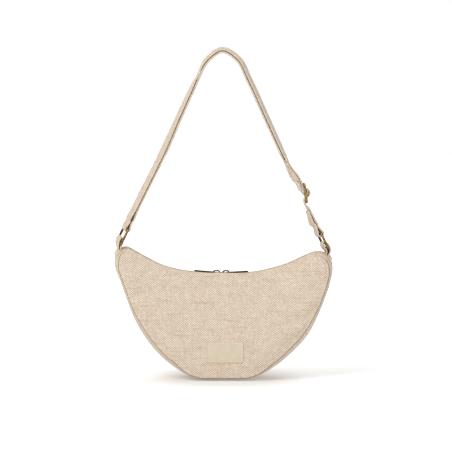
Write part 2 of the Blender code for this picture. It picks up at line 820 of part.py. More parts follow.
def loop_point(left, right, shares):
    """A point of the strap's loop, from shares of the rings' half span and the loop's height."""
    middle = (left.high + right.high) / 2
    x = middle.x + shares[0] * (right.high.x - left.high.x) / 2
    base = mix(left.high.z, right.high.z, (shares[0] + 1) / 2)
    return flat(x, base + shares[1] * LOOP_HEIGHT)


def twist_at(share):
    for (start, low), (end, high) in zip(TWIST_SHARES, TWIST_SHARES[1:]):
        if share <= end:
            break
    return LEFT_RING_TWIST * mix(low, high, smooth((share - start) / (end - start)))


class Loop:
    """The doubled stretch of the strap, from the left ring to where the adjuster's part begins."""

    def __init__(self, left, right):
        points = [left.high] + [loop_point(left, right, shares) for shares in LOOP_SHARES]
        self.line = Trail(points)
        self.spacing = STRAP_THICKNESS + GAP

    def station(self, distance, layer):
        """A point of the inner (-1) or outer (1) layer's middle, and its width direction."""
        across, out = twisted(self.line.heading(distance), twist_at(distance / self.line.length))
        return self.line.place(distance) + out * (layer * self.spacing / 2), across

    def layer(self, layer):
        count = int((self.line.length - RING_NECK) / STRAP_STEP)
        stations = []
        for index in range(1, count + 1):
            distance = mix(RING_NECK, self.line.length, index / count)
            stations.append(self.station(distance, layer))
        return stations


def make_strap(name, loop, left, finish):
    """The colliding stretch: up from the adjuster, round the left ring and back."""
    inner = list(reversed(loop.layer(-1)))
    outer = loop.layer(1)
    heading = loop.line.heading(RING_NECK)
    radius = RING_WIRE + GAP + STRAP_THICKNESS / 2
    turn = eye(left.high, heading, left.across, radius, loop.spacing, RING_NECK)
    if (turn[0] - turn[-1]).dot(left.out) > 0.0:
        turn.reverse()
    path = [point for point, across in inner] + turn + [point for point, across in outer]
    widths = [across for point, across in inner] + [left.across] * len(turn)
    widths += [across for point, across in outer]
    mesh = band_mesh(name, path, widths, STRAP_WIDTH, STRAP_THICKNESS)
    add_object(name, mesh, finish, left.high)


class Adjuster:
    """Where the adjuster sits, and its own directions: down along it, and out."""

    def __init__(self, left, right):
        self.centre = loop_point(left, right, ADJUSTER_SHARES)
        self.down = flat(math.sin(ADJUSTER_LEAN), -math.cos(ADJUSTER_LEAN))
        self.out = side_of(self.down)
        self.near = ADJUSTER_WIRE + GAP + STRAP_THICKNESS / 2
        self.step = STRAP_THICKNESS + GAP
        self.far = self.near + self.step

    def spot(self, down, out):
        return self.centre + self.down * down + self.out * out

    def arc(self, radius, first, last):
        """Points round the middle bar, by angle from straight out towards down."""
        points = []
        for step in range(ARC_STEPS + 1):
            angle = math.radians(mix(first, last, step / ARC_STEPS))
            points.append(self.spot(radius * math.sin(angle), radius * math.cos(angle)))
        return points


def make_adjuster(name, adjuster, finish):
    across = Vector((0.0, 1.0, 0.0))
    half_width = STRAP_WIDTH / 2 + BAND_EASE + ADJUSTER_WIRE
    made = wire_frame(name, adjuster.centre, adjuster.down, across, ADJUSTER_PITCH, half_width,
                      ADJUSTER_CORNER, ADJUSTER_WIRE, finish)
    bar = bpy.data.curves.new(name + "_bar", "CURVE")
    bar.dimensions = "3D"
    bar.bevel_depth = ADJUSTER_WIRE
    bar.bevel_resolution = 2
    bar.use_fill_caps = True
    spline = bar.splines.new("POLY")
    spline.points.add(1)
    spline.points[0].co = (0.0, -half_width, 0.0, 1.0)
    spline.points[1].co = (0.0, half_width, 0.0, 1.0)
    cross = curve_to_mesh(name + "_bar", bar, None)
    PARTS.objects.unlink(cross)
    CUTTERS.objects.link(cross)
    cross.location = adjuster.centre
    combine(made, cross, "UNION")


def spaced(points, step):
    trail = Trail(points)
    count = max(int(trail.length / step), 1)
    return [trail.at(index / count) for index in range(count + 1)]


def make_sewn_end(name, loop, adjuster, finish):
    """The inner layer's end: down to the adjuster, round its middle bar and sewn back on itself."""
    cut, cut_across = loop.station(loop.line.length, -1)
    cut += loop.line.heading(loop.line.length) * GAP
    near = adjuster.near
    step = adjuster.step
    pitch = ADJUSTER_PITCH
    beside = adjuster.spot(-pitch, -(near + 2 * step))
    half_way = cut.lerp(beside, SEWN_SHARE)
    out = side_of(beside - cut)
    down = [cut, half_way, beside, adjuster.spot(-pitch * 0.58, -(near + 1.75 * step)),
            adjuster.spot(-near * 1.07, -(near + step))]
    back = [adjuster.spot(-near * 1.29, -near * 0.86), adjuster.spot(-near * 2.32, -near * 1.61),
            adjuster.spot(-pitch, -(near + step)), half_way + out * step]
    turn = adjuster.arc(near, 170.0, -90.0)
    path = spaced(down, STRAP_STEP)[:-1] + spaced([down[-1]] + turn[:2], FINE_STEP)[:-1]
    path += turn[1:] + spaced([turn[-1], *back], FINE_STEP)[1:]
    mesh = band_mesh(name, path, [cut_across] * len(path), STRAP_WIDTH, STRAP_THICKNESS)
    add_object(name, mesh, finish, cut)
    return half_way + out * (2 * step)


FINE_STEP = 0.0030


TURNING_STATIONS = 3


def make_running_end(name, loop, adjuster, right, way, finish):
    """The outer layer's end: woven through the adjuster, then sewn round the right ring."""
    cut, cut_across = loop.station(loop.line.length, 1)
    cut += loop.line.heading(loop.line.length) * GAP
    near = adjuster.near
    far = adjuster.far
    pitch = ADJUSTER_PITCH
    above = [cut, way, adjuster.spot(-pitch, -near), adjuster.spot(-pitch * 0.68, -near * 0.86),
             adjuster.spot(-far * 1.12, -near * 0.36)]
    below = [adjuster.spot(far * 1.12, -near * 0.36), adjuster.spot(pitch * 0.68, -near * 0.86),
             adjuster.spot(pitch, -near)]
    turn = adjuster.arc(far, -75.0, 75.0)
    along = (adjuster.spot(pitch, -near) - right.high).normalized()
    radius = RING_WIRE + GAP + STRAP_THICKNESS / 2
    loop_turn = eye(right.high, along, right.across, radius, adjuster.step, RING_NECK)
    if (loop_turn[0] - loop_turn[-1]).dot(right.out) < 0.0:
        loop_turn.reverse()
    onward = (loop_turn[0] - loop_turn[1]).normalized()
    reach = onward * (FOLD_BACK - RING_NECK)
    start = loop_turn[0] + reach
    finish_point = loop_turn[-1] + reach
    path = spaced(above, FINE_STEP * 1.5)[:-1] + spaced([above[-1], *turn, below[0]], FINE_STEP)
    path += spaced([*below, start], FINE_STEP * 1.5)[1:]
    lower = len(path)
    path += spaced([start, loop_turn[0]], STRAP_STEP)[1:] + loop_turn[1:]
    path += spaced([loop_turn[-1], finish_point], STRAP_STEP)[1:]
    widths = [cut_across] * lower + [right.across] * (len(path) - lower)
    for index in range(TURNING_STATIONS):
        share = smooth((index + 1) / (TURNING_STATIONS + 1))
        widths[lower - TURNING_STATIONS + index] = cut_across.lerp(right.across, share)
    mesh = band_mesh(name, path, widths, STRAP_WIDTH, STRAP_THICKNESS)
    add_object(name, mesh, finish, cut)


def clear_scene():
    for thing in list(bpy.data.objects):
        bpy.data.objects.remove(thing, do_unlink=True)


def new_collection(name):
    made = bpy.data.collections.new(name)
    bpy.context.scene.collection.children.link(made)
    return made


def build():
    canvas = material("canvas", (0.72, 0.60, 0.47), 0.9)
    patch = material("patch", (0.73, 0.63, 0.50), 0.8)
    cotton = material("lining", (0.70, 0.62, 0.52), 0.9)
    tape = material("zip_tape", (0.45, 0.36, 0.26), 0.9)
    bronze = material("bronze", (0.16, 0.12, 0.07), 0.4, 1.0)
    brass = material("antique_brass", (0.36, 0.26, 0.12), 0.35, 1.0)

    make_panel("front_panel", -1.0, canvas)
    make_panel("back_panel", 1.0, canvas)
    make_gusset("gusset", canvas)
    make_lining_panel("lining_front", -1.0, cotton)
    make_lining_panel("lining_back", 1.0, cotton)
    make_lining_gusset("lining_gusset", cotton)
    make_patch("patch", bpy.data.objects["front_panel"], patch)

    make_tape("zip_tape_front", -1.0, tape)
    make_tape("zip_tape_back", 1.0, tape)
    make_teeth("zip_teeth_front", -1.0, bronze)
    make_teeth("zip_teeth_back", 1.0, bronze)
    make_stop("zip_stop_left", ZIP_LEFT, -1.0, bronze)
    make_stop("zip_stop_right", ZIP_RIGHT, 1.0, bronze)
    for side, x, turned in (("left", SLIDER_MEETING_X - SLIDER_OFFSET, False),
                            ("right", SLIDER_MEETING_X + SLIDER_OFFSET, True)):
        slider, tall = make_slider("slider_" + side, x, turned, bronze)
        make_pull("pull_" + side, slider, tall, bronze)

    left = Ring(LEFT_SEAT, LEFT_STAND, RING_LEAN, LEFT_RING_TWIST)
    right = Ring(CREST.length - RIGHT_SEAT, RIGHT_STAND, -RING_LEAN, RIGHT_RING_TWIST)
    make_ring("ring_left", left, brass)
    make_ring("ring_right", right, brass)
    make_tab("tab_left", left, LEFT_SEAT + TAB_START, 1.0, canvas)
    make_tab("tab_right", right, CREST.length - RIGHT_SEAT - TAB_START, -1.0, canvas)

    loop = Loop(left, right)
    adjuster = Adjuster(left, right)
    make_strap("strap", loop, left, canvas)
    way = make_sewn_end("strap_sewn_end", loop, adjuster, canvas)
    make_running_end("strap_running_end", loop, adjuster, right, way, canvas)
    make_adjuster("adjuster", adjuster, brass)


TAB_START = 0.0030

clear_scene()
PARTS = new_collection("belt_bag")
CUTTERS = new_collection("cutters")
build()
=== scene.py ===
from bisect import bisect_left
import json
import math

import bpy
from mathutils import Matrix, Vector
from mathutils.bvhtree import BVHTree
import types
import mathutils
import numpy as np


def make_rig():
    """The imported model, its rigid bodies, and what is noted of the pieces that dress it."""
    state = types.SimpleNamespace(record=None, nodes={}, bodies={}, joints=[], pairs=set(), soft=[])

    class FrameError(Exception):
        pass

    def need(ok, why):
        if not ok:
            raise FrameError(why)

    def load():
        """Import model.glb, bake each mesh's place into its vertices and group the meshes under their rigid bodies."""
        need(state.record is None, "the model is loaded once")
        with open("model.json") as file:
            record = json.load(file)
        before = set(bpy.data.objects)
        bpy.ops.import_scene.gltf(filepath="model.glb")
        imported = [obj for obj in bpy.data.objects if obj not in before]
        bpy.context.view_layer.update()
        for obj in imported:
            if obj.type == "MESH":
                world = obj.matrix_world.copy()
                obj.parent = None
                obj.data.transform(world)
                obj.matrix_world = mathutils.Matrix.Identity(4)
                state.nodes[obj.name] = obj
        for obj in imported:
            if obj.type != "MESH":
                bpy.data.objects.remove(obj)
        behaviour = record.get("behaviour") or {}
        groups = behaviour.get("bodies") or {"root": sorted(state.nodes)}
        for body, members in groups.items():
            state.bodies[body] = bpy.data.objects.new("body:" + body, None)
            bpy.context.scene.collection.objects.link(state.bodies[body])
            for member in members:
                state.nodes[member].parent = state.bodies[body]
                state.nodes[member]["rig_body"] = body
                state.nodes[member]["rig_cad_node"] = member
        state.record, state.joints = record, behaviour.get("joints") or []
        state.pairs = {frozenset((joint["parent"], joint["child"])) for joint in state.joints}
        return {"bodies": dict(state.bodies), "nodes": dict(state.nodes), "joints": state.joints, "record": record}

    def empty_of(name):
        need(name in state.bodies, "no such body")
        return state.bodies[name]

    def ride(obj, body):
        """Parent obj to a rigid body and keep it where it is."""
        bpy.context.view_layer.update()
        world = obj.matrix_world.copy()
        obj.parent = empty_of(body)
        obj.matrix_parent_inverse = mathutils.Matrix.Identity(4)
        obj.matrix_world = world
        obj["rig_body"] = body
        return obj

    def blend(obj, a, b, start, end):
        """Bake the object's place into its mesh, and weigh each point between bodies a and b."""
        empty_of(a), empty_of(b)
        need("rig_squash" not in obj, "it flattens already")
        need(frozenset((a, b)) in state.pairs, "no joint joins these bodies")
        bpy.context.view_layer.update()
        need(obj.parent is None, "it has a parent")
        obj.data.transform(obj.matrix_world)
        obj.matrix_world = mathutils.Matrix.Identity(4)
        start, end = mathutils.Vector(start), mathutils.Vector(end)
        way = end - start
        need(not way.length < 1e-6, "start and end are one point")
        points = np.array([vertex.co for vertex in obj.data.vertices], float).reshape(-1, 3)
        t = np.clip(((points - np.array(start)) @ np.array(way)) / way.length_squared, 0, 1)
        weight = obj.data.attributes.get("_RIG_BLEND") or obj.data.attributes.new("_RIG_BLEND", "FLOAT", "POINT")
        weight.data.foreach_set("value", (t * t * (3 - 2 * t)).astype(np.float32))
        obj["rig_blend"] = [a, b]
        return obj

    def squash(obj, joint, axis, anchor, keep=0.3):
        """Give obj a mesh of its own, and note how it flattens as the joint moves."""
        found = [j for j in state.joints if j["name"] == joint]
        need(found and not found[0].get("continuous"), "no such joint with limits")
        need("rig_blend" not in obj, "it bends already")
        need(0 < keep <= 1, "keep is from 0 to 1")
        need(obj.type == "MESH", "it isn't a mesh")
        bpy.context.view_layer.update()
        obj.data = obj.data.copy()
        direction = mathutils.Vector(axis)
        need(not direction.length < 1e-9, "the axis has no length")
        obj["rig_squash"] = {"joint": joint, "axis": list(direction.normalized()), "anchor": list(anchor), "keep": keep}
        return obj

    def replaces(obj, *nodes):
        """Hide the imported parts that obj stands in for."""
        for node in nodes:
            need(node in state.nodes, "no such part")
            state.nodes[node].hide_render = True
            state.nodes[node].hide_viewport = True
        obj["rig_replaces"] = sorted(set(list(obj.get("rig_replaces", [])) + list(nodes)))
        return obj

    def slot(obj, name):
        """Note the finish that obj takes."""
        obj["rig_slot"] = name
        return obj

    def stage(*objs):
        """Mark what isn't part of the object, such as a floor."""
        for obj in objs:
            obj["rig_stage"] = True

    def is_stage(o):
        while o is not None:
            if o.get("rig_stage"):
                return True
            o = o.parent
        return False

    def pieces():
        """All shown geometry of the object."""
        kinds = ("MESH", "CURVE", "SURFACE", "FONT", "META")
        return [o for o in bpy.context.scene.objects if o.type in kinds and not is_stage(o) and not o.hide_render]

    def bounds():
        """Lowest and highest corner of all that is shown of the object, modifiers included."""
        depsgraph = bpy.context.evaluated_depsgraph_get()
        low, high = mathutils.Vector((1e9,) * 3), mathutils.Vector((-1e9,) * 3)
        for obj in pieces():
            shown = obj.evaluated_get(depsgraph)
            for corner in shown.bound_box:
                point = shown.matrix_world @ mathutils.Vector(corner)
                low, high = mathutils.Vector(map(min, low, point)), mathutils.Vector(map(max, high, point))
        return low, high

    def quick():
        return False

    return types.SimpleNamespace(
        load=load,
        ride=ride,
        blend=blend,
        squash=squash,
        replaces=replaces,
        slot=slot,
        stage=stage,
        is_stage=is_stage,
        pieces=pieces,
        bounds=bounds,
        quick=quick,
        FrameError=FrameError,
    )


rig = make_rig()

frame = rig.load()
CAD_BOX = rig.bounds()

# Bag body, close to part.py's: metres, and shares of the half width and the height
BAG_WIDTH = 0.2990
BAG_HEIGHT = 0.1815
BASE_DEPTH = 0.0720
HORN_DEPTH = 0.0280
CANVAS = 0.0016
GAP = 0.0003
WALL_BULGE = 0.0045
HORN_BULGE = 0.0025
BASE_LIFT = 0.0031
LOW_BULGE = 0.0074
LOW_TOP = 0.0500
LOW_FADE = 0.0600
BELLY = 0.0050
CORNER_HEIGHT = 0.0180
HORN_START_SHARE = 0.77
HORN_RISE_SHARE = 0.18
DEPTH_POWER = 0.8
FOLD_RADIUS = 0.0031
FOLD_REACH = 0.0048
CREST_SHARES = (
    (-0.876, 0.999), (-0.914, 0.996), (-0.953, 0.981), (-0.977, 0.953), (-0.994, 0.909),
    (-0.990, 0.843), (-0.940, 0.728), (-0.882, 0.592), (-0.817, 0.457), (-0.722, 0.321),
    (-0.600, 0.193), (-0.462, 0.094), (-0.325, 0.028), (-0.190, 0.000), (0.200, 0.000),
    (0.335, 0.027), (0.482, 0.094), (0.646, 0.207), (0.771, 0.321), (0.862, 0.457),
    (0.931, 0.592), (0.985, 0.728), (1.006, 0.818), (0.999, 0.882), (0.970, 0.931),
    (0.936, 0.953), (0.893, 0.963), (0.846, 0.964),
)
TOP_SHARES = (
    (-0.864, 0.990), (-0.722, 0.923), (-0.562, 0.858), (-0.401, 0.821), (-0.254, 0.806),
    (0.000, 0.801), (0.281, 0.804), (0.428, 0.828), (0.595, 0.870), (0.722, 0.917),
    (0.834, 0.957),
)

# How the canvas is drawn in and creased
CLOTH = 0.0011  # thickness of the shown canvas
CLOTH_SKEW = 0.059
SEAM_DIP = 0.0012
SEAM_SHADE_WIDTH = 0.00085
NEAR_SEAM = (0.0003, 0.0006, 0.0010, 0.0015, 0.0021, 0.0029, 0.0040, 0.0055)
SEAM_REACH = 0.0012
END_LAP = 0.0030
END_STEPS = (0.2, 0.4, 0.6, 0.8, 1.0)
END_ROUND = 0.0005
END_TURN = 0.0004
END_DROP = 0.0040
END_ACROSS = 0.985
END_INSET = 0.0006
BODY_STATIONS = 180
PANEL_ROWS = 46
GUSSET_ROWS = 26
FOLD_ROWS = 7
ROW_POWER = 1.15
MOST_NEAR = 0.4
CALM_SEAM = 0.012
CALM_TOP = 0.12
# The hem under the fold: its reach toward the zip, and its drop as a share of the canvas
HEM_ROWS = ((0.35, 0.0), (0.70, 0.0), (0.97, 0.25), (1.0, 0.9))
HEM_STITCHES = (0.62, 0.25)
# Soft creases: from (x, z) to (x, z), half width and height, where a hollow is negative. Each is
# strongest near its start and fades along its line.
CREASE_PEAK = 0.35
CREASE_REACH = 1.2
CREASE_LEAST = 0.35
CREASES = (
    ((-0.139, 0.158), (-0.112, 0.161), 0.0035, -0.0011),
    ((-0.140, 0.151), (-0.108, 0.150), 0.0050, 0.0009),
    ((-0.128, 0.122), (-0.100, 0.106), 0.0070, -0.0010),
    ((-0.134, 0.134), (-0.095, 0.124), 0.0070, 0.0008),
    ((0.134, 0.128), (0.096, 0.106), 0.0080, -0.0016),
    ((0.140, 0.142), (0.098, 0.128), 0.0080, 0.0014),
    ((0.126, 0.092), (0.082, 0.076), 0.0085, -0.0013),
    ((0.130, 0.104), (0.088, 0.094), 0.0070, 0.0010),
    ((-0.040, 0.128), (0.030, 0.126), 0.0090, -0.0008),
    ((0.060, 0.052), (0.096, 0.070), 0.0080, 0.0008),
)

# How the panels' canvas settles between its seams
FRAMES = 20
CLOTH_SETTINGS = {
    "vertex_group_mass": "pinned", "quality": 8, "mass": 0.15, "tension_stiffness": 12.0,
    "compression_stiffness": 12.0, "shear_stiffness": 6.0, "bending_stiffness": 0.9,
    "shrink_min": -0.012, "use_pressure": True, "uniform_pressure_force": 4.0,
}
MOST_MOVED = 0.0016

# Lining
LINING_INSET = 0.0009
LINING_IN = 0.0012
LINING_DROP = 0.0012
LINING_SLACK = 0.0009
LINING_END = 0.04
LINING_ACROSS = 0.96
LINING_THICKNESS = 0.0004

# Patch
PATCH_WIDTH = 0.0480
PATCH_HEIGHT = 0.0280
PATCH_X = 0.0036
PATCH_Z = 0.0390
PATCH_THICKNESS = 0.0013
PATCH_HEM = 0.0017
PATCH_STITCH = 0.00052
PATCH_PITCH = 0.0026
PATCH_ROUND = 0.0006
PATCH_GROOVE = 0.00042
PATCH_GROOVE_REACH = 0.0005
PATCH_LINES = [0.0, 0.006, 0.02, 0.04] + [0.07 + 0.86 * k / 24 for k in range(25)]
PATCH_LINES += [0.96, 0.98, 0.994, 1.0]

# Zip
ZIP_RADIUS = 0.3000
ZIP_CENTRE_X = 0.0020
ZIP_DROP = 0.00417
ZIP_LEFT_MARGIN = 0.0188
ZIP_RIGHT_MARGIN = 0.0201
TOOTH_PITCH = 0.0040
TEETH_THICKNESS = 0.0022
# A tooth's rings from its root to its tip: reach, half width and share of the thickness
TOOTH_RINGS = (
    (-0.0024, 0.00085, 1.0), (-0.0012, 0.00085, 1.0), (-0.0004, 0.00062, 1.0),
    (0.0003, 0.00060, 1.0), (0.0007, 0.00078, 0.72), (0.0010, 0.00055, 0.72),
)
TOOTH_CORNERS = (
    (-1, -0.6), (-0.6, -1), (0.6, -1), (1, -0.6), (1, 0.6), (0.6, 1), (-0.6, 1), (-1, 0.6),
)
CORD_EDGE = 0.0024
CORD_MIDDLE = CORD_EDGE - 0.0004
CORD_RADIUS = 0.00075
TAPE_THICKNESS = 0.0005
TAPE_REACHES = (0.0, 0.3, 0.55, 0.75, 0.9, 1.0, 1.5)
TAPE_BEYOND = 0.0020
TAPE_ROOM = 0.0006
TAPE_STEP = 0.0004
TAPE_EDGE = 0.0125
PARTED_Y = 0.0078
PARTED_SHARE = 0.12
STOP_LENGTH = 0.0030
SLIDER_MEETING_X = -0.0025
SLIDER_OFFSET = 0.0065
SLIDER_LENGTH = 0.0110
SLIDER_PLATE = 0.0011
SLIDER_NOSE = 0.0112
SLIDER_TAIL = 0.0072
FLANGE = 0.0008
TAPE_SLOT = 0.0015
PLATE_ROUND = 0.0004
FLANGE_ROUND = 0.0001
RIM_RINGS = ((0.0, 1.0), (0.12, 0.35), (0.3, 0.0), (0.7, 0.0), (0.88, 0.35), (1.0, 1.0))
WEDGE = ((0.92, 0.0008), (0.5, 0.0006), (0.25, 0.0), (0.5, -0.0006), (0.92, -0.0008))
ROW_SPREAD = 0.0021
SPREAD_START = 0.0095
SPREAD_END = 0.0020
CROWN_LENGTH = 0.0100
CROWN_HEIGHT = 0.0050
CROWN_END = 0.0007
CROWN_HALF = 0.0009
CROWN_SUNK = 0.0004
CROWN_SECTION = (0.0012, 0.00092)
CROWN_POWER = 0.62
CROWN_STEPS = 26
PULL_LENGTH = 0.0286
PULL_WIDTH = 0.0054
PULL_THICKNESS = 0.0021
PULL_PIVOT = 0.0026
PULL_TILT = math.radians(2.8)
PULL_BEVEL = 0.00026
PULL_HEAD = 0.0007
PULL_WAIST = 0.0021
PULL_WINDOW = 0.0053
PULL_OPENING = 0.0015
PULL_HOLE = 0.0011
SHARP = math.radians(50.0)

# Rings, tabs and adjuster
RING_WIRE = 0.0016
RING_SHOWN = 0.00175
RING_LENGTH = 0.0218
RING_LEAN = math.radians(25.8)
RING_CORNER = 0.0032
BAND_EASE = 0.0014
LEFT_RING_TWIST = math.radians(14.0)
RIGHT_RING_TWIST = math.radians(-8.0)
LEFT_BAR = (-0.14215, 0.18654)
RIGHT_BAR = (0.14138, 0.17896)
ADJUSTER_WIRE = 0.0015
ADJUSTER_SHOWN = 0.00175
ADJUSTER_PITCH = 0.0124
ADJUSTER_CORNER = 0.0032
ADJUSTER_LEAN = math.radians(7.9)
ADJUSTER_CENTRE = (0.11258, 0.25435)
TAB_THICKNESS = 0.0013
EYE_PLAY = 0.0006
EYE_BOW = 0.0022
EYE_BOW_AT = 0.0150
EYE_BOW_REACH = 0.0085
TAB_WIDTH = 0.0250
TAB_LOOP_THICKNESS = 0.0019
TAB_STEP = 0.0011
TAB_EASE = 0.0070
# Each leg's start and end along the crest and its stand above it, then the loop's way round the
# ring's bar, from the outer leg to the inner one
LEFT_TAB = (
    (0.0136, 0.0216, 0.00160), (0.0150, 0.0222, 0.00095),
    ((-0.0034, -0.0062), (-0.0030, -0.0024), (-0.0022, 0.0018), (-0.0007, 0.0058),
     (0.0018, 0.0082), (0.0036, 0.0064), (0.0030, 0.0026), (0.0018, -0.0010),
     (0.0004, -0.0046), (-0.0006, -0.0080)),
)
RIGHT_TAB = (
    (0.0215, 0.0275, 0.00095), (0.0168, 0.0222, 0.00095),
    ((0.0046, -0.0088), (0.0043, -0.0048), (0.0036, -0.0008), (0.0012, 0.0040),
     (-0.0034, 0.0080), (-0.0060, 0.0070), (-0.0056, 0.0034), (-0.0026, -0.0012),
     (0.0017, -0.0050)),
)

# Strap
STRAP_WIDTH = 0.0250
STRAP_THICKNESS = 0.0025
LAYERS_APART = 0.0008
LOOP_HEIGHT = 0.2454
STRAP_STEP = 0.0042
FINE_STEP = 0.0022
RING_NECK = 0.0100
FOLD_BACK = 0.0360
SEWN_SHARE = 0.34
ARC_STEPS = 12
LOOP_SHARES = (
    (-0.911, 0.116), (-0.830, 0.204), (-0.639, 0.408), (-0.452, 0.6285), (-0.265, 0.840),
    (-0.158, 0.946), (-0.007, 1.000), (0.1655, 0.951), (0.271, 0.847), (0.450, 0.644),
    (0.640, 0.424),
)
LOOP_LEFT = (-0.12998, 0.20811)
LOOP_RIGHT = (0.12925, 0.20012)
# The strap's turn about its own way, in degrees, at shares of the doubled stretch
TWISTS = (
    (0.0, 14.0), (0.10, 15.4), (0.26, 14.0), (0.38, 9.6), (0.46, 8.2), (0.515, 1.2),
    (0.57, 7.8), (0.64, 8.6), (0.90, 8.6), (1.0, 6.4),
)
SEWN_BOW = 0.0009
SEWN_SAG = 0.0020
SEWN_TWIST = math.radians(-12.0)
RUNNING_TWIST = math.radians(-3.0)
SEWN_TWIST_PEAK = 0.60
TAIL_TIP = 0.60
TAIL_THIN = 0.3
BRAID_END = 4.0
# The turn of the sewn fold above the right ring, in degrees, and how its inner layer stands off
FOLD_TWISTS = ((0.0, -9.0), (0.12, -13.0), (1.0, -6.0))
FOLD_BOW = 0.0024
FOLD_BOW_START = 0.30
FOLD_BOW_PEAK = 0.25
FOLD_BOW_REACH = 0.40
FOLD_BOW_OUTER = 0.4
DOUBLED_STATIONS = 8
LEVEL = Vector((0.0, 1.0, 0.0))
FACES = (1.0, -1.0)

# Stitches
STITCH_PITCH = 0.0034
STITCH_LENGTH = 0.0024
STITCH_RADIUS = 0.00034
EDGE_STITCH = 0.0019
EDGE_STITCH_LIFT = 0.80
STITCH_OFF = 0.0001
STITCH_SIDES = 6
STITCH_SINK = 1.1
STITCH_SECTIONS = ((-0.5, 0.30), (-0.30, 0.90), (0.0, 1.0), (0.30, 0.90), (0.5, 0.30))
NO_CLOTH = (0.0, 0.0)
TRAIL_STEPS = 16
TINY = 1e-9

# Canvas weave: how far its yarns wander, and its brown flecks, each with the noise's stretch,
# detail and roughness, the noise at which it starts and is full, and its share then
YARN_WOBBLE = (0.0007, 0.0006, 0.0)
MANY_YARNS = 4096.0
FLECKS = (
    ((22.0, 300.0), 3.0, 0.62, 0.52, 0.76, 0.45),
    ((360.0, 34.0), 2.0, 0.60, 0.56, 0.80, 0.135),
    ((240.0, 430.0), 2.0, 0.70, 0.60, 0.80, 0.27),
)

# Camera: the photograph's scale, and the middle of its view
PIXEL = 0.00137
PHOTO_PIXELS = 452
VIEW_X = 0.0041
VIEW_Z = 0.2089
VIEW_DISTANCE = 3.0
VIEW_ELEVATION = math.radians(3.0)
SENSOR = 36.0
# What the floor adds to its own light, near the bag and beside it, so that it reads as white beside the bag; the
# smaller glow near the bag is a painted contact shadow
UNDER_GLOW = 0.14
FLOOR_BOUNCE = 0.20
FLOOR_GLOW = 0.45
NEAR_FLOOR = (0.04, 0.15)
FAR_FLOOR = (0.3, 1.2)
FLOOR_SIZE = 30.0
FLOOR_PLACE = (0.0, 0.0, -0.0002)
FLOOR_COLOUR = (0.74, 0.73, 0.71, 1.0)
WHITE = (1.0, 1.0, 1.0, 1.0)
WORLD_LIGHT = 0.50
AIM_Z = 0.16
LAMPS = (
    ("key", (-1.35, -1.5, 1.9), 1.6, 38.0),
    ("fill", (1.8, -1.4, 0.6), 1.5, 9.0),
    ("back", (0.2, 1.6, 1.7), 1.6, 9.0),
)


def flat(x, z):
    return Vector((x, 0.0, z))


def smooth(value):
    value = min(max(value, 0.0), 1.0)
    return value * value * (3.0 - 2.0 * value)


def mix(first, second, share):
    return first + (second - first) * share


def side_of(direction):
    """The direction a quarter turn to the left of one in the XZ plane."""
    return flat(-direction.z, direction.x).normalized()


def shares_of(count):
    return [index / count for index in range(count + 1)]


def marks_of(points, start=0.0):
    """The length covered at each point of a line, counted on from a start."""
    marks = [start]
    for a, b in zip(points, points[1:]):
        marks.append(marks[-1] + (b - a).length)
    return marks


def circle(sides):
    """The cosine and the sine of each corner of a round section."""
    angles = [math.tau * side / sides for side in range(sides)]
    return [(math.cos(angle), math.sin(angle)) for angle in angles]


def mirrored(points):
    """An outline closed by the mirror image of its upper side."""
    return points + [(x, -y) for x, y in reversed(points)]


class Trail:
    """A smooth curve through chosen points, read by its length or its share of it."""

    def __init__(self, points):
        spans = [(b - a).length for a, b in zip(points, points[1:])]
        slopes = [(b - a) / span for a, b, span in zip(points, points[1:], spans)]
        tangents = [slopes[0]]
        for before, after, left, right in zip(slopes, slopes[1:], spans, spans[1:]):
            tangents.append((before * right + after * left) / (left + right))
        tangents.append(slopes[-1])
        self.points = [points[0].copy()]
        for index, span in enumerate(spans):
            leave = tangents[index] * span
            arrive = tangents[index + 1] * span
            for t in shares_of(TRAIL_STEPS)[1:]:
                squared = t * t
                cubed = squared * t
                self.points.append(
                    points[index] * (2 * cubed - 3 * squared + 1)
                    + leave * (cubed - 2 * squared + t)
                    + points[index + 1] * (3 * squared - 2 * cubed) + arrive * (cubed - squared))
        self.marks = marks_of(self.points)
        self.length = self.marks[-1]

    def place(self, distance):
        distance = min(max(distance, 0.0), self.length)
        index = min(bisect_left(self.marks, distance, 1), len(self.marks) - 1)
        span = self.marks[index] - self.marks[index - 1]
        share = (distance - self.marks[index - 1]) / span
        return self.points[index - 1].lerp(self.points[index], share)

    def heading(self, distance):
        reach = self.length / (4 * len(self.marks))
        return (self.place(distance + reach) - self.place(distance - reach)).normalized()

    def at(self, share):
        return self.place(share * self.length)


def spaced(points, step):
    """Points about a step apart on the smooth curve through some points."""
    trail = Trail(points)
    return [trail.at(share) for share in shares_of(max(int(trail.length / step), 1))]


def body_point(shares):
    return flat(shares[0] * BAG_WIDTH / 2, shares[1] * BAG_HEIGHT)


CREST = Trail([body_point(shares) for shares in CREST_SHARES])
for crest_point in CREST.points:
    crest_point.z = max(crest_point.z, 0.0)
TOP = Trail([body_point(shares) for shares in TOP_SHARES])


def top_height(x):
    for before, after in zip(TOP.points, TOP.points[1:]):
        if after.x >= x:
            break
    return mix(before.z, after.z, (x - before.x) / (after.x - before.x))


def bulge(height):
    """How far the gusset's wall stands out past the panels' seams at a height."""
    horn = smooth((height / BAG_HEIGHT - HORN_START_SHARE) / HORN_RISE_SHARE)
    wall = mix(LOW_BULGE, WALL_BULGE, smooth((height - LOW_TOP) / LOW_FADE))
    return mix(BASE_LIFT, wall, smooth(height / CORNER_HEIGHT)) + HORN_BULGE * horn


def half_depth(height):
    rise = max(1.0 - height / BAG_HEIGHT, 0.0) ** DEPTH_POWER
    return mix(HORN_DEPTH / 2, BASE_DEPTH / 2, rise)


def outward(share):
    return -side_of(CREST.heading(share * CREST.length))


def seam_dip(distance):
    """How far the canvas is drawn in beside a seam."""
    return SEAM_DIP * math.exp(-(distance / SEAM_REACH) ** 2)


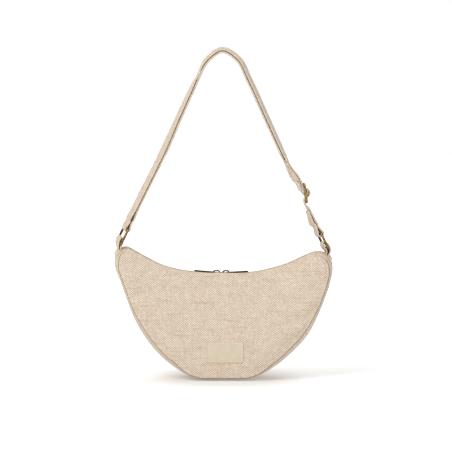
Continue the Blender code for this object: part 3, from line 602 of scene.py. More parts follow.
def gusset_point(share, across, inset):
    crest = CREST.at(share)
    lift = bulge(crest.z)
    dip = seam_dip((1.0 - abs(across)) * half_depth(crest.z))
    point = crest - outward(share) * (lift * across * across + inset + dip)
    point.y = across * (half_depth(crest.z) + GAP)
    return point


def crease_lift(x, z):
    """How far the listed creases lift the canvas here."""
    lift = 0.0
    for (x0, z0), (x1, z1), width, height in CREASES:
        run = Vector((x1 - x0, z1 - z0))
        along = Vector((x - x0, z - z0)).dot(run) / run.length_squared
        nearest = Vector((x0, z0)) + run * min(max(along, 0.0), 1.0)
        away = (Vector((x, z)) - nearest).length / width
        fade = mix(CREASE_LEAST, 1.0, smooth(CREASE_REACH - abs(along - CREASE_PEAK)))
        lift += height * math.exp(-away * away) * fade
    return lift


def panel_point(share, rise, inset, out):
    """A point of the back panel: rise runs from 0 at the gusset to 1 under the top fold."""
    crest = CREST.at(share)
    low = crest - outward(share) * (bulge(crest.z) + inset)
    high = TOP.at(share) - flat(0.0, FOLD_RADIUS)
    point = low.lerp(high, rise)
    span = (high - low).length
    point.y = mix(half_depth(crest.z), HORN_DEPTH / 2, smooth(rise))
    point.y += BELLY * math.sin(math.pi * rise) * min(span / BAG_HEIGHT, 1.0) + out
    return point


class Piece:
    """Vertices, faces, cloth coordinates and material numbers of one piece as it is made."""

    def __init__(self):
        self.verts = []
        self.faces = []
        self.uvs = []
        self.slots = []
        self.close = {}

    def face(self, corners, uvs, slot=0):
        self.faces.append(corners)
        self.uvs.extend(uvs)
        self.slots.append(slot)

    def grid(self, rows, cloth=None, slot=0, closed=False):
        """A sheet through rows of points, or a skin where each row is a ring."""
        start = len(self.verts)
        width = len(rows[0])
        for row in rows:
            self.verts.extend(row)
        for low in range(len(rows) - 1):
            for left in range(width if closed else width - 1):
                corners = ((low, left), (low, left + 1), (low + 1, left + 1), (low + 1, left))
                self.face([start + a * width + b % width for a, b in corners],
                          [cloth[a][b] if cloth else NO_CLOTH for a, b in corners], slot)

    def tube(self, rings, cloth=None, slot=0, caps=True):
        """A closed skin through rings of points."""
        start = len(self.verts)
        count = len(rings[0])
        self.grid(rings, cloth, slot, True)
        if caps:
            last = start + (len(rings) - 1) * count
            self.face([start + index for index in reversed(range(count))],
                      [NO_CLOTH] * count, slot)
            self.face([last + index for index in range(count)], [NO_CLOTH] * count, slot)

    def stitch(self, place, along, up, slot, radius):
        """One stitch: a short thread lying on the cloth."""
        across = along.cross(up).normalized()
        rings = []
        for end, size in STITCH_SECTIONS:
            sink = up * (-radius * STITCH_SINK * (2.0 * end) ** 2)
            rings.append([place + along * (end * STITCH_LENGTH) + sink
                          + (across * a + up * b) * radius * size for a, b in circle(STITCH_SIDES)])
        self.tube(rings, None, slot)

    def seam(self, points, normals, pitch=STITCH_PITCH, slot=1, radius=STITCH_RADIUS):
        """A row of stitches along points that lie on the cloth."""
        marks = marks_of(points)
        count = int(marks[-1] / pitch)
        for number in range(count):
            distance = (number + 0.5) * marks[-1] / count
            index = min(max(bisect_left(marks, distance) - 1, 0), len(marks) - 2)
            share = (distance - marks[index]) / max(marks[index + 1] - marks[index], TINY)
            place = points[index].lerp(points[index + 1], share)
            up = normals[index].lerp(normals[index + 1], share).normalized()
            along = (points[index + 1] - points[index]).normalized()
            self.stitch(place, along, up, slot, radius)

    def finish(self, name, materials, body=None, nodes=(), slot=None):
        mesh = bpy.data.meshes.new(name)
        mesh.from_pydata([tuple(v) for v in self.verts], [], self.faces)
        layer = mesh.uv_layers.new(name="cloth")
        for number, uv in enumerate(self.uvs):
            layer.data[number].uv = uv
        beside = mesh.uv_layers.new(name="close")
        if self.close:
            for loop in mesh.loops:
                beside.data[loop.index].uv = (self.close.get(loop.vertex_index, 0.0), 0.0)
        mesh.polygons.foreach_set("material_index", self.slots)
        for item in materials:
            mesh.materials.append(item)
        mesh.shade_smooth()
        mesh.update()
        return settle(bpy.data.objects.new(name, mesh), body, nodes, slot)


def settle(obj, body=None, nodes=(), slot=None):
    """Links a piece, and says what it rides on, replaces and takes its finish from."""
    if not obj.users_collection:
        bpy.context.scene.collection.objects.link(obj)
    if nodes:
        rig.replaces(obj, *nodes)
    if slot:
        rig.slot(obj, slot)
    if body:
        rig.ride(obj, body)
    return obj


def evaluated_mesh(obj):
    """A mesh of the object with its modifiers, or its curve, made final."""
    bpy.context.view_layer.update()
    depsgraph = bpy.context.evaluated_depsgraph_get()
    return bpy.data.meshes.new_from_object(obj.evaluated_get(depsgraph))


def applied(obj):
    """The piece with its modifiers made final."""
    mesh = evaluated_mesh(obj)
    obj.modifiers.clear()
    obj.data = mesh
    return obj


def settled(obj, pinned):
    """The canvas after it has puffed and creased between its pinned edges."""
    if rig.quick():
        return obj
    start = [vertex.co.copy() for vertex in obj.data.vertices]
    group = obj.vertex_groups.new(name="pinned")
    group.add(pinned, 1.0, "REPLACE")
    cloth = obj.modifiers.new("cloth", "CLOTH")
    for key, value in CLOTH_SETTINGS.items():
        setattr(cloth.settings, key, value)
    cloth.settings.effector_weights.gravity = 0.0
    cloth.collision_settings.use_collision = False
    scene = bpy.context.scene
    for number in range(1, FRAMES + 1):
        scene.frame_set(number)
    depsgraph = bpy.context.evaluated_depsgraph_get()
    moved = [vertex.co.copy() for vertex in obj.evaluated_get(depsgraph).data.vertices]
    obj.modifiers.clear()
    scene.frame_set(1)
    for vertex, before, after in zip(obj.data.vertices, start, moved):
        step = after - before
        if step.length > MOST_MOVED:
            step *= MOST_MOVED / step.length
        vertex.co = before + step
    obj.vertex_groups.clear()
    obj.data.update()
    return obj


def thicken(obj, thickness, offset=-1.0):
    """Gives a sheet its thickness, on its inner side or on both."""
    solid = obj.modifiers.new("thickness", "SOLIDIFY")
    solid.thickness = thickness
    solid.offset = offset
    solid.use_quality_normals = True
    return obj


# Materials


class Nodes:
    """The node tree of a new material or of a world, with short ways to add and join nodes."""

    def __init__(self, name, world=None):
        self.material = world or bpy.data.materials.new(name)
        self.material.use_nodes = True
        self.tree = self.material.node_tree
        self.shader = self.tree.nodes.get("Principled BSDF")

    def add(self, kind, inputs=(), **settings):
        node = self.tree.nodes.new(kind)
        for key, value in settings.items():
            setattr(node, key, value)
        for key, value in dict(inputs).items():
            self.put(node, key, value)
        return node

    def put(self, node, key, value):
        """Links a node's socket to another, or writes its value."""
        if isinstance(value, bpy.types.NodeSocket):
            self.tree.links.new(value, node.inputs[key])
        else:
            node.inputs[key].default_value = value

    def math(self, operation, first, second=0.0, third=0.0):
        return self.add("ShaderNodeMath", {0: first, 1: second, 2: third},
                        operation=operation).outputs[0]

    def times(self, first, second):
        return self.math("MULTIPLY", first, second)

    def mix(self, share, first, second, blend="MIX"):
        node = self.add("ShaderNodeMix", {0: share, 6: first, 7: second}, data_type="RGBA",
                        blend_type=blend)
        return node.outputs[2]

    def noise(self, vector, scale, detail=2.0, roughness=0.5):
        """Noise at one scale, or stretched by a scale for each direction."""
        if isinstance(scale, tuple):
            vector = self.scaled(vector, (*scale, 0.0)[:3])
            scale = 1.0
        node = self.add("ShaderNodeTexNoise",
                        {"Vector": vector, "Scale": scale, "Detail": detail,
                         "Roughness": roughness})
        return node.outputs[0]

    def remap(self, value, low, high, new_low=0.0, new_high=1.0):
        node = self.add("ShaderNodeMapRange",
                        {0: value, 1: low, 2: high, 3: new_low, 4: new_high},
                        interpolation_type="SMOOTHSTEP")
        return node.outputs[0]

    def scaled(self, vector, scale):
        return self.add("ShaderNodeVectorMath", {0: vector, 1: scale},
                        operation="MULTIPLY").outputs[0]

    def parts(self, vector):
        return self.add("ShaderNodeSeparateXYZ", {0: vector}).outputs

    def joined(self, x, y, z=0.0):
        return self.add("ShaderNodeCombineXYZ", {0: x, 1: y, 2: z}).outputs[0]

    def cloth(self, layer="cloth"):
        return self.add("ShaderNodeUVMap", uv_map=layer).outputs[0]

    def darkened(self, colour, shade):
        return self.mix(1.0, colour, self.joined(shade, shade, shade), "MULTIPLY")

    def bump(self, height, strength, distance):
        return self.add("ShaderNodeBump", {"Height": height, "Strength": strength,
                                           "Distance": distance}).outputs[0]

    def seen(self):
        """1 where the camera looks, also through a mirror or glass, and 0 for other light."""
        paths = self.add("ShaderNodeLightPath").outputs
        seen = self.math("MAXIMUM", paths["Is Camera Ray"], paths["Is Glossy Ray"])
        return self.math("MAXIMUM", seen, paths["Is Transmission Ray"])

    def surface(self, colour, roughness, normal, metallic=0.0, sheen=0.0):
        for key, value in (("Base Color", colour), ("Roughness", roughness), ("Normal", normal),
                           ("Metallic", metallic), ("Sheen Weight", sheen)):
            self.put(self.shader, key, value)
        return self.material


def linear(red, green, blue):
    """A colour given as it looks on screen, 0 to 255."""
    channels = []
    for value in (red, green, blue):
        value /= 255.0
        channels.append(value / 12.92 if value <= 0.04045 else ((value + 0.055) / 1.055) ** 2.4)
    return (*channels, 1.0)


def woven(name, warp, weft, fleck, seam, pitch):
    """Coarse canvas: paired yarns, over and under by turns, uneven and flecked with brown; painted shade darkens the
    hollows between yarns, and seam thread with painted groove shade darkens the seams.
    """
    n = Nodes(name)
    cloth = n.cloth()
    wobble = n.add("ShaderNodeTexNoise", {"Vector": cloth, "Scale": 160.0, "Detail": 2.0})
    centred = n.add("ShaderNodeVectorMath", {0: wobble.outputs[1], 1: (-0.5, -0.5, -0.5)},
                    operation="ADD").outputs[0]
    shifted = n.add("ShaderNodeVectorMath", {0: centred, 1: YARN_WOBBLE, 2: cloth},
                    operation="MULTIPLY_ADD").outputs[0]
    plain = n.parts(shifted)
    across = n.math("DIVIDE", plain[0], pitch[0])
    along = n.math("DIVIDE", n.math("MULTIPLY_ADD", plain[0], CLOTH_SKEW, plain[1]), pitch[1])
    warp_number = n.math("FLOOR", across)
    weft_number = n.math("FLOOR", along)
    difference = n.math("ADD", n.math("SUBTRACT", warp_number, weft_number), MANY_YARNS)
    over = n.math("LESS_THAN", n.math("FRACT", n.math("DIVIDE", difference, 2.0)), 0.25)
    under = n.math("SUBTRACT", 1.0, over)

    def hump(value, sharp):
        centre = n.math("SUBTRACT", n.math("FRACT", value), 0.5)
        return n.math("SUBTRACT", 1.0, n.times(n.times(centre, centre), sharp))

    def yarn(side, length):
        pair = hump(n.times(side, 2.0), 1.6)
        return n.times(n.times(pair, hump(side, 1.4)), hump(length, 2.6))

    def thread_tone(number, other, seed):
        spot = n.joined(number, n.times(other, 0.24), seed)
        return n.noise(spot, 0.83, 2.0, 0.6)

    height = n.math("ADD", n.times(yarn(across, along), over),
                    n.times(yarn(along, across), under))
    warp_tone = thread_tone(warp_number, along, 3.1)
    weft_tone = thread_tone(weft_number, across, 8.7)
    colour = n.mix(over, n.mix(n.remap(weft_tone, 0.35, 0.66), weft[0], weft[1]),
                   n.mix(n.remap(warp_tone, 0.35, 0.68), warp[0], warp[1]))
    for stretch, detail, roughness, low, high, share in FLECKS:
        flecks = n.noise(shifted, stretch, detail, roughness)
        colour = n.mix(n.remap(flecks, low, high, 0.0, share), colour, fleck)
    tints = n.noise(cloth, (60.0, 110.0), 2.0, 0.6)
    colour = n.mix(n.remap(tints, 0.50, 0.72, 0.0, 0.24), colour, linear(221, 207, 196))
    spot = n.add("ShaderNodeTexWhiteNoise", {"Vector": n.joined(warp_number, weft_number)},
                 noise_dimensions="2D").outputs[0]
    # Random tone by patch and by yarn, times painted shade in the low hollows between yarns.
    shade = n.remap(n.noise(cloth, 34.0, 3.0, 0.6), 0.30, 0.70, 0.905, 0.94)
    shade = n.times(shade, n.remap(height, 0.0, 0.62, 0.46, 1.06))
    shade = n.times(shade, n.remap(spot, 0.0, 1.0, 0.93, 1.07))
    colour = n.darkened(colour, shade)
    # Darker brown near the seams, from the "close" layer: the seam's thread line, and painted shade in the groove
    # beside it.
    close = n.parts(n.cloth("close"))[0]
    colour = n.mix(n.remap(close, 0.30, 0.80, 0.0, 0.95), colour, seam)
    fuzz = n.noise(cloth, (2600.0, 2600.0), 2.0, 0.7)
    tall = n.math("ADD", height, n.times(fuzz, 0.30))
    tall = n.math("ADD", tall, n.times(n.math("SUBTRACT", weft_tone, 0.5), 0.7))
    normal = n.bump(tall, 0.5, pitch[1] * 0.30)
    return n.surface(colour, n.remap(height, 0.1, 0.9, 0.95, 0.82), normal, 0.0, 0.12)


def thread_material(name, colour, dark):
    n = Nodes(name)
    place = n.add("ShaderNodeTexCoord").outputs["Object"]
    tone = n.noise(place, 1500.0, 2.0, 0.6)
    twist = n.add("ShaderNodeTexWave", {"Vector": place, "Scale": 700.0, "Distortion": 1.5})
    normal = n.bump(twist.outputs[1], 0.5, 0.0002)
    return n.surface(n.mix(n.remap(tone, 0.35, 0.65), dark, colour), 0.75, normal, 0.0, 0.15)


def aged_metal(name, bright, dark, rubbed_highlight, roughness, back_shade=0.0):
    """Plated metal: dark in its hollows; worn bright on its ridges, which is also a painted highlight; and painted
    shade at the back.
    """
    n = Nodes(name)
    place = n.add("ShaderNodeTexCoord").outputs["Object"]
    patches = n.noise(place, 420.0, 4.0, 0.6)
    ridge = n.add("ShaderNodeNewGeometry").outputs["Pointiness"]
    colour = n.mix(n.remap(patches, 0.38, 0.66), dark, bright)
    # Ridges, found by pointiness, take the bright ridge colour: wear, and also a painted highlight.
    colour = n.mix(n.remap(ridge, 0.53, 0.60, 0.0, 0.65), colour, rubbed_highlight)
    # Painted shade: past 2 mm toward the back (object y), the metal turns dark grey.
    depth = n.parts(place)[1]
    colour = n.mix(n.remap(depth, 0.002, 0.010, 0.0, back_shade), colour, linear(62, 60, 58))
    scratches = n.noise(place, (900.0, 900.0, 5200.0), 3.0, 0.7)
    rough = n.math("ADD", n.remap(patches, 0.3, 0.7, roughness * 0.85, roughness * 1.35),
                   n.times(scratches, 0.08))
    return n.surface(colour, rough, n.bump(scratches, 0.12, 0.0001), 1.0)


def smooth_cotton(name, light, dark, pitch, relief=0.3):
    """Fine plain weave, with painted shade between its threads."""
    n = Nodes(name)
    cloth = n.cloth()
    threads = n.parts(n.scaled(cloth, (math.pi / pitch, math.pi / pitch, 0.0)))
    height = n.math("MAXIMUM", n.math("ABSOLUTE", n.math("SINE", threads[0])),
                    n.math("ABSOLUTE", n.math("SINE", threads[1])))
    tone = n.noise(cloth, (900.0, 300.0), 3.0, 0.6)
    # Painted shade between the threads, times a random tone.
    shade = n.times(n.remap(height, 0.3, 1.0, 0.90, 1.02),
                    n.remap(n.noise(cloth, 60.0), 0.3, 0.7, 0.96, 1.02))
    colour = n.darkened(n.mix(n.remap(tone, 0.3, 0.7), dark, light), shade)
    normal = n.bump(n.math("ADD", height, tone), relief, pitch * 0.4)
    return n.surface(colour, 0.85, normal, 0.0, 0.1)


# The darkest brown is the seam colour: seam thread and painted groove shade.
CANVAS_CLOTH = woven(
    "canvas", (linear(250, 240, 225), linear(238, 224, 204)),
    (linear(214, 191, 165), linear(198, 171, 142)), linear(196, 146, 98),
    linear(100, 70, 44), (0.00179, 0.00147))
PATCH_CLOTH = smooth_cotton("patch", linear(224, 210, 189), linear(210, 195, 172), 0.00042)
LINING_CLOTH = smooth_cotton("lining", linear(214, 200, 178), linear(196, 180, 156), 0.0005)
TAPE_CLOTH = smooth_cotton("zip_tape", linear(196, 178, 150), linear(168, 148, 120), 0.0006, 0.6)
THREAD = thread_material("thread", linear(233, 219, 198), linear(205, 186, 158))
PATCH_THREAD = thread_material("patch_thread", linear(252, 240, 212), linear(234, 220, 190))
BRONZE = aged_metal("bronze", linear(84, 68, 46), linear(42, 34, 24), linear(128, 106, 74), 0.42)
# Antique brass: its bright ridge colour is also a painted highlight, and its back half takes painted shade (0.9).
BRASS = aged_metal("antique_brass", linear(158, 128, 76), linear(76, 58, 34),
                   linear(232, 208, 152), 0.22, 0.9)


# Bag body


def cloth_rows(rows):
    """Cloth coordinates of a grid: the middle row's length along and the middle column's up."""
    along = marks_of(rows[len(rows) // 2])
    up = marks_of([row[len(row) // 2] for row in rows])
    return [[(u, v) for u in along] for v in up]


# How near a point lies to its seam; the canvas is painted darker there, as seam thread and painted groove shade.
def seam_closeness(distance):
    return math.exp(-(distance / SEAM_SHADE_WIDTH) ** 2)


def panel_rows(sign):
    """Rows of the panel's outer face, from the seam over the top fold to the zip."""
    out = GAP + CANVAS
    starts = [panel_point(share, 0.0, 0.0, out) for share in shares_of(BODY_STATIONS)]
    spans = [(panel_point(share, 1.0, 0.0, out) - start).length
             for share, start in zip(shares_of(BODY_STATIONS), starts)]
    rest = PANEL_ROWS - len(NEAR_SEAM)
    steps = [(distance, 0.0) for distance in (0.0,) + NEAR_SEAM]
    steps += [(0.0, share) for share in shares_of(rest)[1:]]
    rows = []
    for near, further in steps:
        row = []
        for share, start, span in zip(shares_of(BODY_STATIONS), starts, spans):
            edge = min(NEAR_SEAM[-1] / span, MOST_NEAR)
            rise = edge * near / NEAR_SEAM[-1]
            if further:
                rise = mix(edge, 1.0, further ** ROW_POWER)
            point = panel_point(share, rise, 0.0, out)
            away = (point - start).length
            point.y -= seam_dip(away)
            calm = smooth(away / CALM_SEAM) * smooth((1.0 - rise) / CALM_TOP)
            point.y += crease_lift(point.x, point.z) * calm if sign < 0 else 0.0
            row.append(point)
        rows.append(row)
    for step in range(1, FOLD_ROWS + 1):
        angle = math.radians(90.0 * step / FOLD_ROWS)
        row = []
        for share in shares_of(BODY_STATIONS):
            point = TOP.at(share) - flat(0.0, FOLD_RADIUS * (1.0 - math.sin(angle)))
            point.y = HORN_DEPTH / 2 + out - FOLD_RADIUS * (1.0 - math.cos(angle))
            row.append(point)
        rows.append(row)
    for reach, drop in HEM_ROWS:
        rows.append([point - Vector((0.0, FOLD_REACH * reach, CANVAS * drop)) for point in
                     rows[PANEL_ROWS + FOLD_ROWS]])
    close_ends(rows)
    for row in rows:
        for point in row:
            point.y *= sign
    return rows


def close_ends(rows):
    """Columns at both ends of a panel that bring its edge and its fold down on the gusset."""
    for last in (False, True):
        column = [row[-1 if last else 0] for row in rows]
        marks = marks_of(column)
        seat = END_LAP / CREST.length
        seat = 1.0 - seat if last else seat
        inner = column[-1].y / (half_depth(CREST.at(seat).z) + GAP)
        for row, point, mark in zip(rows, column, marks):
            under = gusset_point(seat, mix(END_ACROSS, inner, mark / marks[-1]), END_INSET)
            added = []
            for step in END_STEPS:
                added.append(point.lerp(under, step) + flat(0.0, END_ROUND * math.sin(math.pi * step)))
            if last:
                row.extend(added)
            else:
                row[:0] = reversed(added)


def panel_cloth(rows):
    """Cloth coordinates that run level, so that the weave doesn't follow the crescent."""
    cloth = [[(point.x, point.z) for point in row] for row in rows[:PANEL_ROWS + 1]]
    lengths = [0.0] * len(rows[0])
    for before, row in zip(rows[PANEL_ROWS:], rows[PANEL_ROWS + 1:]):
        lengths = [length + (b - a).length for length, a, b in zip(lengths, before, row)]
        cloth.append([(point.x, rim[1] + length)
                      for point, rim, length in zip(row, cloth[PANEL_ROWS], lengths)])
    return cloth


def make_panel(name, sign):
    """A panel of canvas, settled between its seam, its fold and its two ends."""
    rows = panel_rows(sign)
    if sign > 0:
        rows = [list(reversed(row)) for row in rows]
    piece = Piece()
    piece.grid(rows, panel_cloth(rows))
    width = len(rows[0])
    # Closeness to the seam, which the canvas darkens as seam thread and painted shade.
    for number, distance in enumerate((0.0,) + NEAR_SEAM):
        for column in range(width):
            piece.close[number * width + column] = seam_closeness(distance)
    made = piece.finish(name, [CANVAS_CLOTH, THREAD])
    edge = len(END_STEPS) + 2
    pinned = [index for index in range(len(piece.verts))
              if not (len(NEAR_SEAM) < index // width < PANEL_ROWS - 1
                      and edge <= index % width < width - edge)]
    settled(made, pinned)
    thicken(made, CLOTH)
    return applied(made)


def turned_down(row):
    """A row of the gusset with its two ends turned down into the bag, under the zip's tape."""
    ends = []
    for share, edge in ((0.0, row[0]), (1.0, row[-1])):
        out = outward(share)
        ahead = CREST.heading(share * CREST.length) * (1.0 if share else -1.0)
        turn = []
        for step in (0.34, 0.67, 1.0):
            angle = math.pi / 2 * step
            turn.append(edge + ahead * (END_TURN * math.sin(angle))
                        - out * (END_TURN * (1.0 - math.cos(angle))))
        turn.append(turn[-1] - out * END_DROP)
        ends.append(turn)
    return list(reversed(ends[0])) + row + ends[1]


def make_gusset(name):
    """The gusset's strip of canvas from horn to horn."""
    rows = []
    near = (0.0,) + NEAR_SEAM
    count = GUSSET_ROWS // 2 - len(NEAR_SEAM)
    steps = [(-1.0, distance, 0.0) for distance in near]
    steps += [(-1.0, NEAR_SEAM[-1], step / count) for step in range(1, count + 1)]
    steps += [(1.0, distance, inward) for side, distance, inward in reversed(steps[:-1])]
    for side, distance, inward in steps:
        row = []
        for share in shares_of(BODY_STATIONS):
            half = half_depth(CREST.at(share).z)
            row.append(gusset_point(share, side * (1.0 - distance / half) * (1.0 - inward), 0.0))
        rows.append(turned_down(row))
    piece = Piece()
    piece.grid(list(reversed(rows)), cloth_rows(rows))
    width = len(rows[0])
    # Closeness to the seam, which the canvas darkens as seam thread and painted shade.
    for number, (side, distance, inward) in enumerate(reversed(steps)):
        for column in range(width):
            piece.close[number * width + column] = seam_closeness(distance) if not inward else 0.0
    made = piece.finish(name, [CANVAS_CLOTH])
    thicken(made, CLOTH)
    return applied(made)


# Straps


def band_section(width, thickness):
    """The section of a folded and edge-stitched band: (across, lift) round it, from one edge."""
    half = width / 2
    full = thickness / 2
    groove = half - EDGE_STITCH
    face = [(-half, 0.0), (-half + full * 0.30, full * 0.70), (-half + full, full * 0.96),
            (-groove, full * 0.74), (-groove + full, full), (0.0, full * 1.02),
            (groove - full, full), (groove, full * 0.74), (half - full, full * 0.96),
            (half - full * 0.30, full * 0.70)]
    return face + [(-across, -lift) for across, lift in face]


def no_fall(u):
    return Vector((0.0, 0.0, 0.0))


def band_frames(path, widths, falls=None, swells=None):
    """Where each section of a band sits, how it bends across its width and how thick it is."""
    frames = []
    for index, (point, across) in enumerate(zip(path, widths)):
        before = path[max(index - 1, 0)]
        after = path[min(index + 1, len(path) - 1)]
        across = across.normalized()
        along = (after - before).normalized()
        up = along.cross(across).normalized()
        frames.append((point, across, up, falls[index] if falls else no_fall,
                       swells[index] if swells else 1.0))
    return frames


def softened(vectors, rounds=2):
    """Directions eased into their neighbours, with the two at the ends kept."""
    for _ in range(rounds):
        vectors = [vectors[0]] + [
            (a + b * 2.0 + c) / 4.0 for a, b, c in zip(vectors, vectors[1:], vectors[2:])
        ] + [vectors[-1]]
    return vectors


def make_band(piece, frames, width, thickness, start=0.0):
    """Adds a stitched band along its frames, and gives the length that it covers."""
    section = band_section(width, thickness)
    girth = marks_of([Vector(corner) for corner in section + section[:1]])
    marks = marks_of([frame[0] for frame in frames], start)
    rings = [[point + across * u + up * (w * swell) + fall(u) for u, w in section]
             for point, across, up, fall, swell in frames]
    piece.tube(rings, [[(mark, run) for mark in girth] for run in marks])
    lift = thickness / 2 * EDGE_STITCH_LIFT
    for side in FACES:
        for edge in (-1.0, 1.0):
            off = edge * (width / 2 - EDGE_STITCH)
            points = [p + a * off + up * (side * lift * swell) + fall(off)
                      for p, a, up, fall, swell in frames]
            piece.seam(points, [frame[2] * side for frame in frames])
    return marks[-1]


def twisted(heading, angle):
    out = side_of(heading)
    across = Vector((0.0, math.cos(angle), 0.0)) + out * math.sin(angle)
    lifted = out * math.cos(angle) - Vector((0.0, math.sin(angle), 0.0))
    return across, lifted


class Ring:
    """Where a ring sits: its two bars, the direction between them and its width direction."""

    def __init__(self, bar, lean, twist):
        self.low = flat(*bar)
        self.up = flat(math.sin(lean), math.cos(lean))
        self.high = self.low + self.up * RING_LENGTH
        heading = self.up if lean > 0.0 else -self.up
        self.across, self.out = twisted(heading, twist)


def eye(bar, heading, across, radius, spacing, neck):
    """A band's way round a bar: down one leg, round the far side and up the other leg."""
    along = (heading - across * heading.dot(across)).normalized()
    side = across.cross(along).normalized()
    points = [bar + along * neck + side * (spacing / 2)]
    for step in range(ARC_STEPS + 1):
        angle = math.pi * step / ARC_STEPS
        points.append(bar + side * (radius * math.cos(angle)) - along * (radius * math.sin(angle)))
    points.append(bar + along * neck - side * (spacing / 2))
    return points


def loop_point(shares):
    x = mix(LOOP_LEFT[0], LOOP_RIGHT[0], (shares[0] + 1) / 2)
    base = mix(LOOP_LEFT[1], LOOP_RIGHT[1], (shares[0] + 1) / 2)
    return flat(x, base + shares[1] * LOOP_HEIGHT)


def twist_at(share, twists=TWISTS):
    """The turn that a table of twists gives at a share of its stretch, in radians."""
    for (start, low), (end, high) in zip(twists, twists[1:]):
        if share <= end:
            break
    return math.radians(mix(low, high, smooth((share - start) / (end - start))))


class Loop:
    """The doubled stretch of the strap, from the left ring to the adjuster's part."""

    def __init__(self, left):
        points = [left.high] + [loop_point(shares) for shares in LOOP_SHARES]
        self.line = Trail(points)
        self.spacing = STRAP_THICKNESS + LAYERS_APART

    def station(self, distance, layer):
        across, out = twisted(self.line.heading(distance), twist_at(distance / self.line.length))
        bow = EYE_BOW * math.exp(-((distance - EYE_BOW_AT) / EYE_BOW_REACH) ** 2)
        return self.line.place(distance) + out * (layer * (self.spacing + bow) / 2), across

    def layer(self, layer):
        count = int((self.line.length - RING_NECK) / STRAP_STEP)
        return [self.station(mix(RING_NECK, self.line.length, index / count), layer)
                for index in range(1, count + 1)]


class Adjuster:
    """Where the adjuster sits, and how far from its bars the strap's layers run."""

    def __init__(self):
        self.centre = flat(*ADJUSTER_CENTRE)
        self.down = flat(math.sin(ADJUSTER_LEAN), -math.cos(ADJUSTER_LEAN))
        self.out = side_of(self.down)
        self.near = ADJUSTER_WIRE + GAP + STRAP_THICKNESS / 2
        self.step = STRAP_THICKNESS + GAP
        self.far = self.near + self.step

    def spot(self, down, out):
        return self.centre + self.down * down + self.out * out

    def arc(self, radius, first, last):
        points = []
        for step in range(ARC_STEPS + 1):
            angle = math.radians(mix(first, last, step / ARC_STEPS))
            points.append(self.spot(radius * math.sin(angle), radius * math.cos(angle)))
        return points


LEFT = Ring(LEFT_BAR, RING_LEAN, LEFT_RING_TWIST)
RIGHT = Ring(RIGHT_BAR, -RING_LEAN, RIGHT_RING_TWIST)
LOOP = Loop(LEFT)
ADJUSTER = Adjuster()


def make_strap(name):
    """The doubled stretch, from the adjuster's part round the left ring and back."""
    inner = list(reversed(LOOP.layer(-1)))
    outer = LOOP.layer(1)
    heading = LOOP.line.heading(RING_NECK)
    radius = RING_WIRE + GAP + STRAP_THICKNESS / 2
    turn = eye(LEFT.high, heading, LEFT.across, radius, LOOP.spacing, RING_NECK)
    if (turn[0] - turn[-1]).dot(LEFT.out) > 0.0:
        turn.reverse()
    path = [point for point, across in inner] + turn + [point for point, across in outer]
    widths = [across for point, across in inner] + [LEFT.across] * len(turn)
    widths = softened(widths + [across for point, across in outer], 3)
    piece = Piece()
    make_band(piece, band_frames(path, widths), STRAP_WIDTH, STRAP_THICKNESS)
    return piece.finish(name, [CANVAS_CLOTH, THREAD], "band", ["strap"], "canvas")


def box_stitch(piece, frames, width, thickness):
    """Rows of stitches across both faces of a band, where it is sewn down."""
    half = width / 2 - EDGE_STITCH
    offs = [mix(-half, half, share) for share in shares_of(8)]
    for point, across, up, fall, swell in frames:
        for side in FACES:
            lift = up * (side * thickness * 0.5 * swell)
            points = [point + across * off + lift + fall(off) for off in offs]
            piece.seam(points, [up * side] * len(points))


def blend_strap(piece, name, nodes, start, end):
    """Finishes a stretch of strap that bends from the rest of the strap to the adjuster."""
    made = piece.finish(name, [CANVAS_CLOTH, THREAD], None, nodes, "canvas")
    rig.blend(made, "band", "buckle", start, end)


def make_sewn_end(name):
    """The inner layer's end, sewn round the adjuster's middle bar and back on itself."""
    cut, cut_across = LOOP.station(LOOP.line.length, -1)
    near = ADJUSTER.near
    step = ADJUSTER.step
    pitch = ADJUSTER_PITCH
    beside = ADJUSTER.spot(-pitch, -(near + 2 * step + SEWN_BOW))
    half_way = cut.lerp(ADJUSTER.spot(-pitch, -(near + 2 * step)), SEWN_SHARE)
    out = side_of(half_way - cut)
    half_way = half_way - out * SEWN_SAG
    down = [cut, half_way, beside, ADJUSTER.spot(-pitch * 0.55, -(near + 1.9 * step)),
            ADJUSTER.spot(-near * 1.07, -(near + step))]
    back = [ADJUSTER.spot(-near * 1.29, -near * 0.86), ADJUSTER.spot(-near * 2.32, -near * 1.61),
            ADJUSTER.spot(-pitch, -(near + step)), half_way + out * step]
    tip = back[-1].lerp(LOOP.line.place(LOOP.line.length), TAIL_TIP)
    back.append(tip)
    turn = ADJUSTER.arc(near, 170.0, -90.0)
    path = spaced(down, STRAP_STEP)[:-1] + spaced([down[-1]] + turn[:2], FINE_STEP)[:-1]
    path += turn[1:] + spaced([turn[-1], *back], FINE_STEP)[1:]
    legs = len(spaced(down, STRAP_STEP)) - 1
    widths = [LEVEL] * len(path)
    swells = [1.0] * len(path)
    for index, point in enumerate(path):
        if index < legs:
            widths[index] = braided(point, cut, cut_across, half_way, SEWN_TWIST)
        elif point.z > ADJUSTER.spot(-pitch, 0.0).z:
            widths[index] = braided(point, cut, cut_across, half_way, RUNNING_TWIST)
        if index > legs and point.z > half_way.z:
            swells[index] = mix(1.0, TAIL_THIN, (point.z - half_way.z) / (tip.z - half_way.z))
    piece = Piece()
    frames = band_frames(path, widths, None, swells)
    make_band(piece, frames, STRAP_WIDTH, STRAP_THICKNESS)
    blend_strap(piece, name, ["strap_sewn_end"], cut, ADJUSTER.spot(-pitch, 0.0))
    return half_way, half_way + out * (1.9 * step)


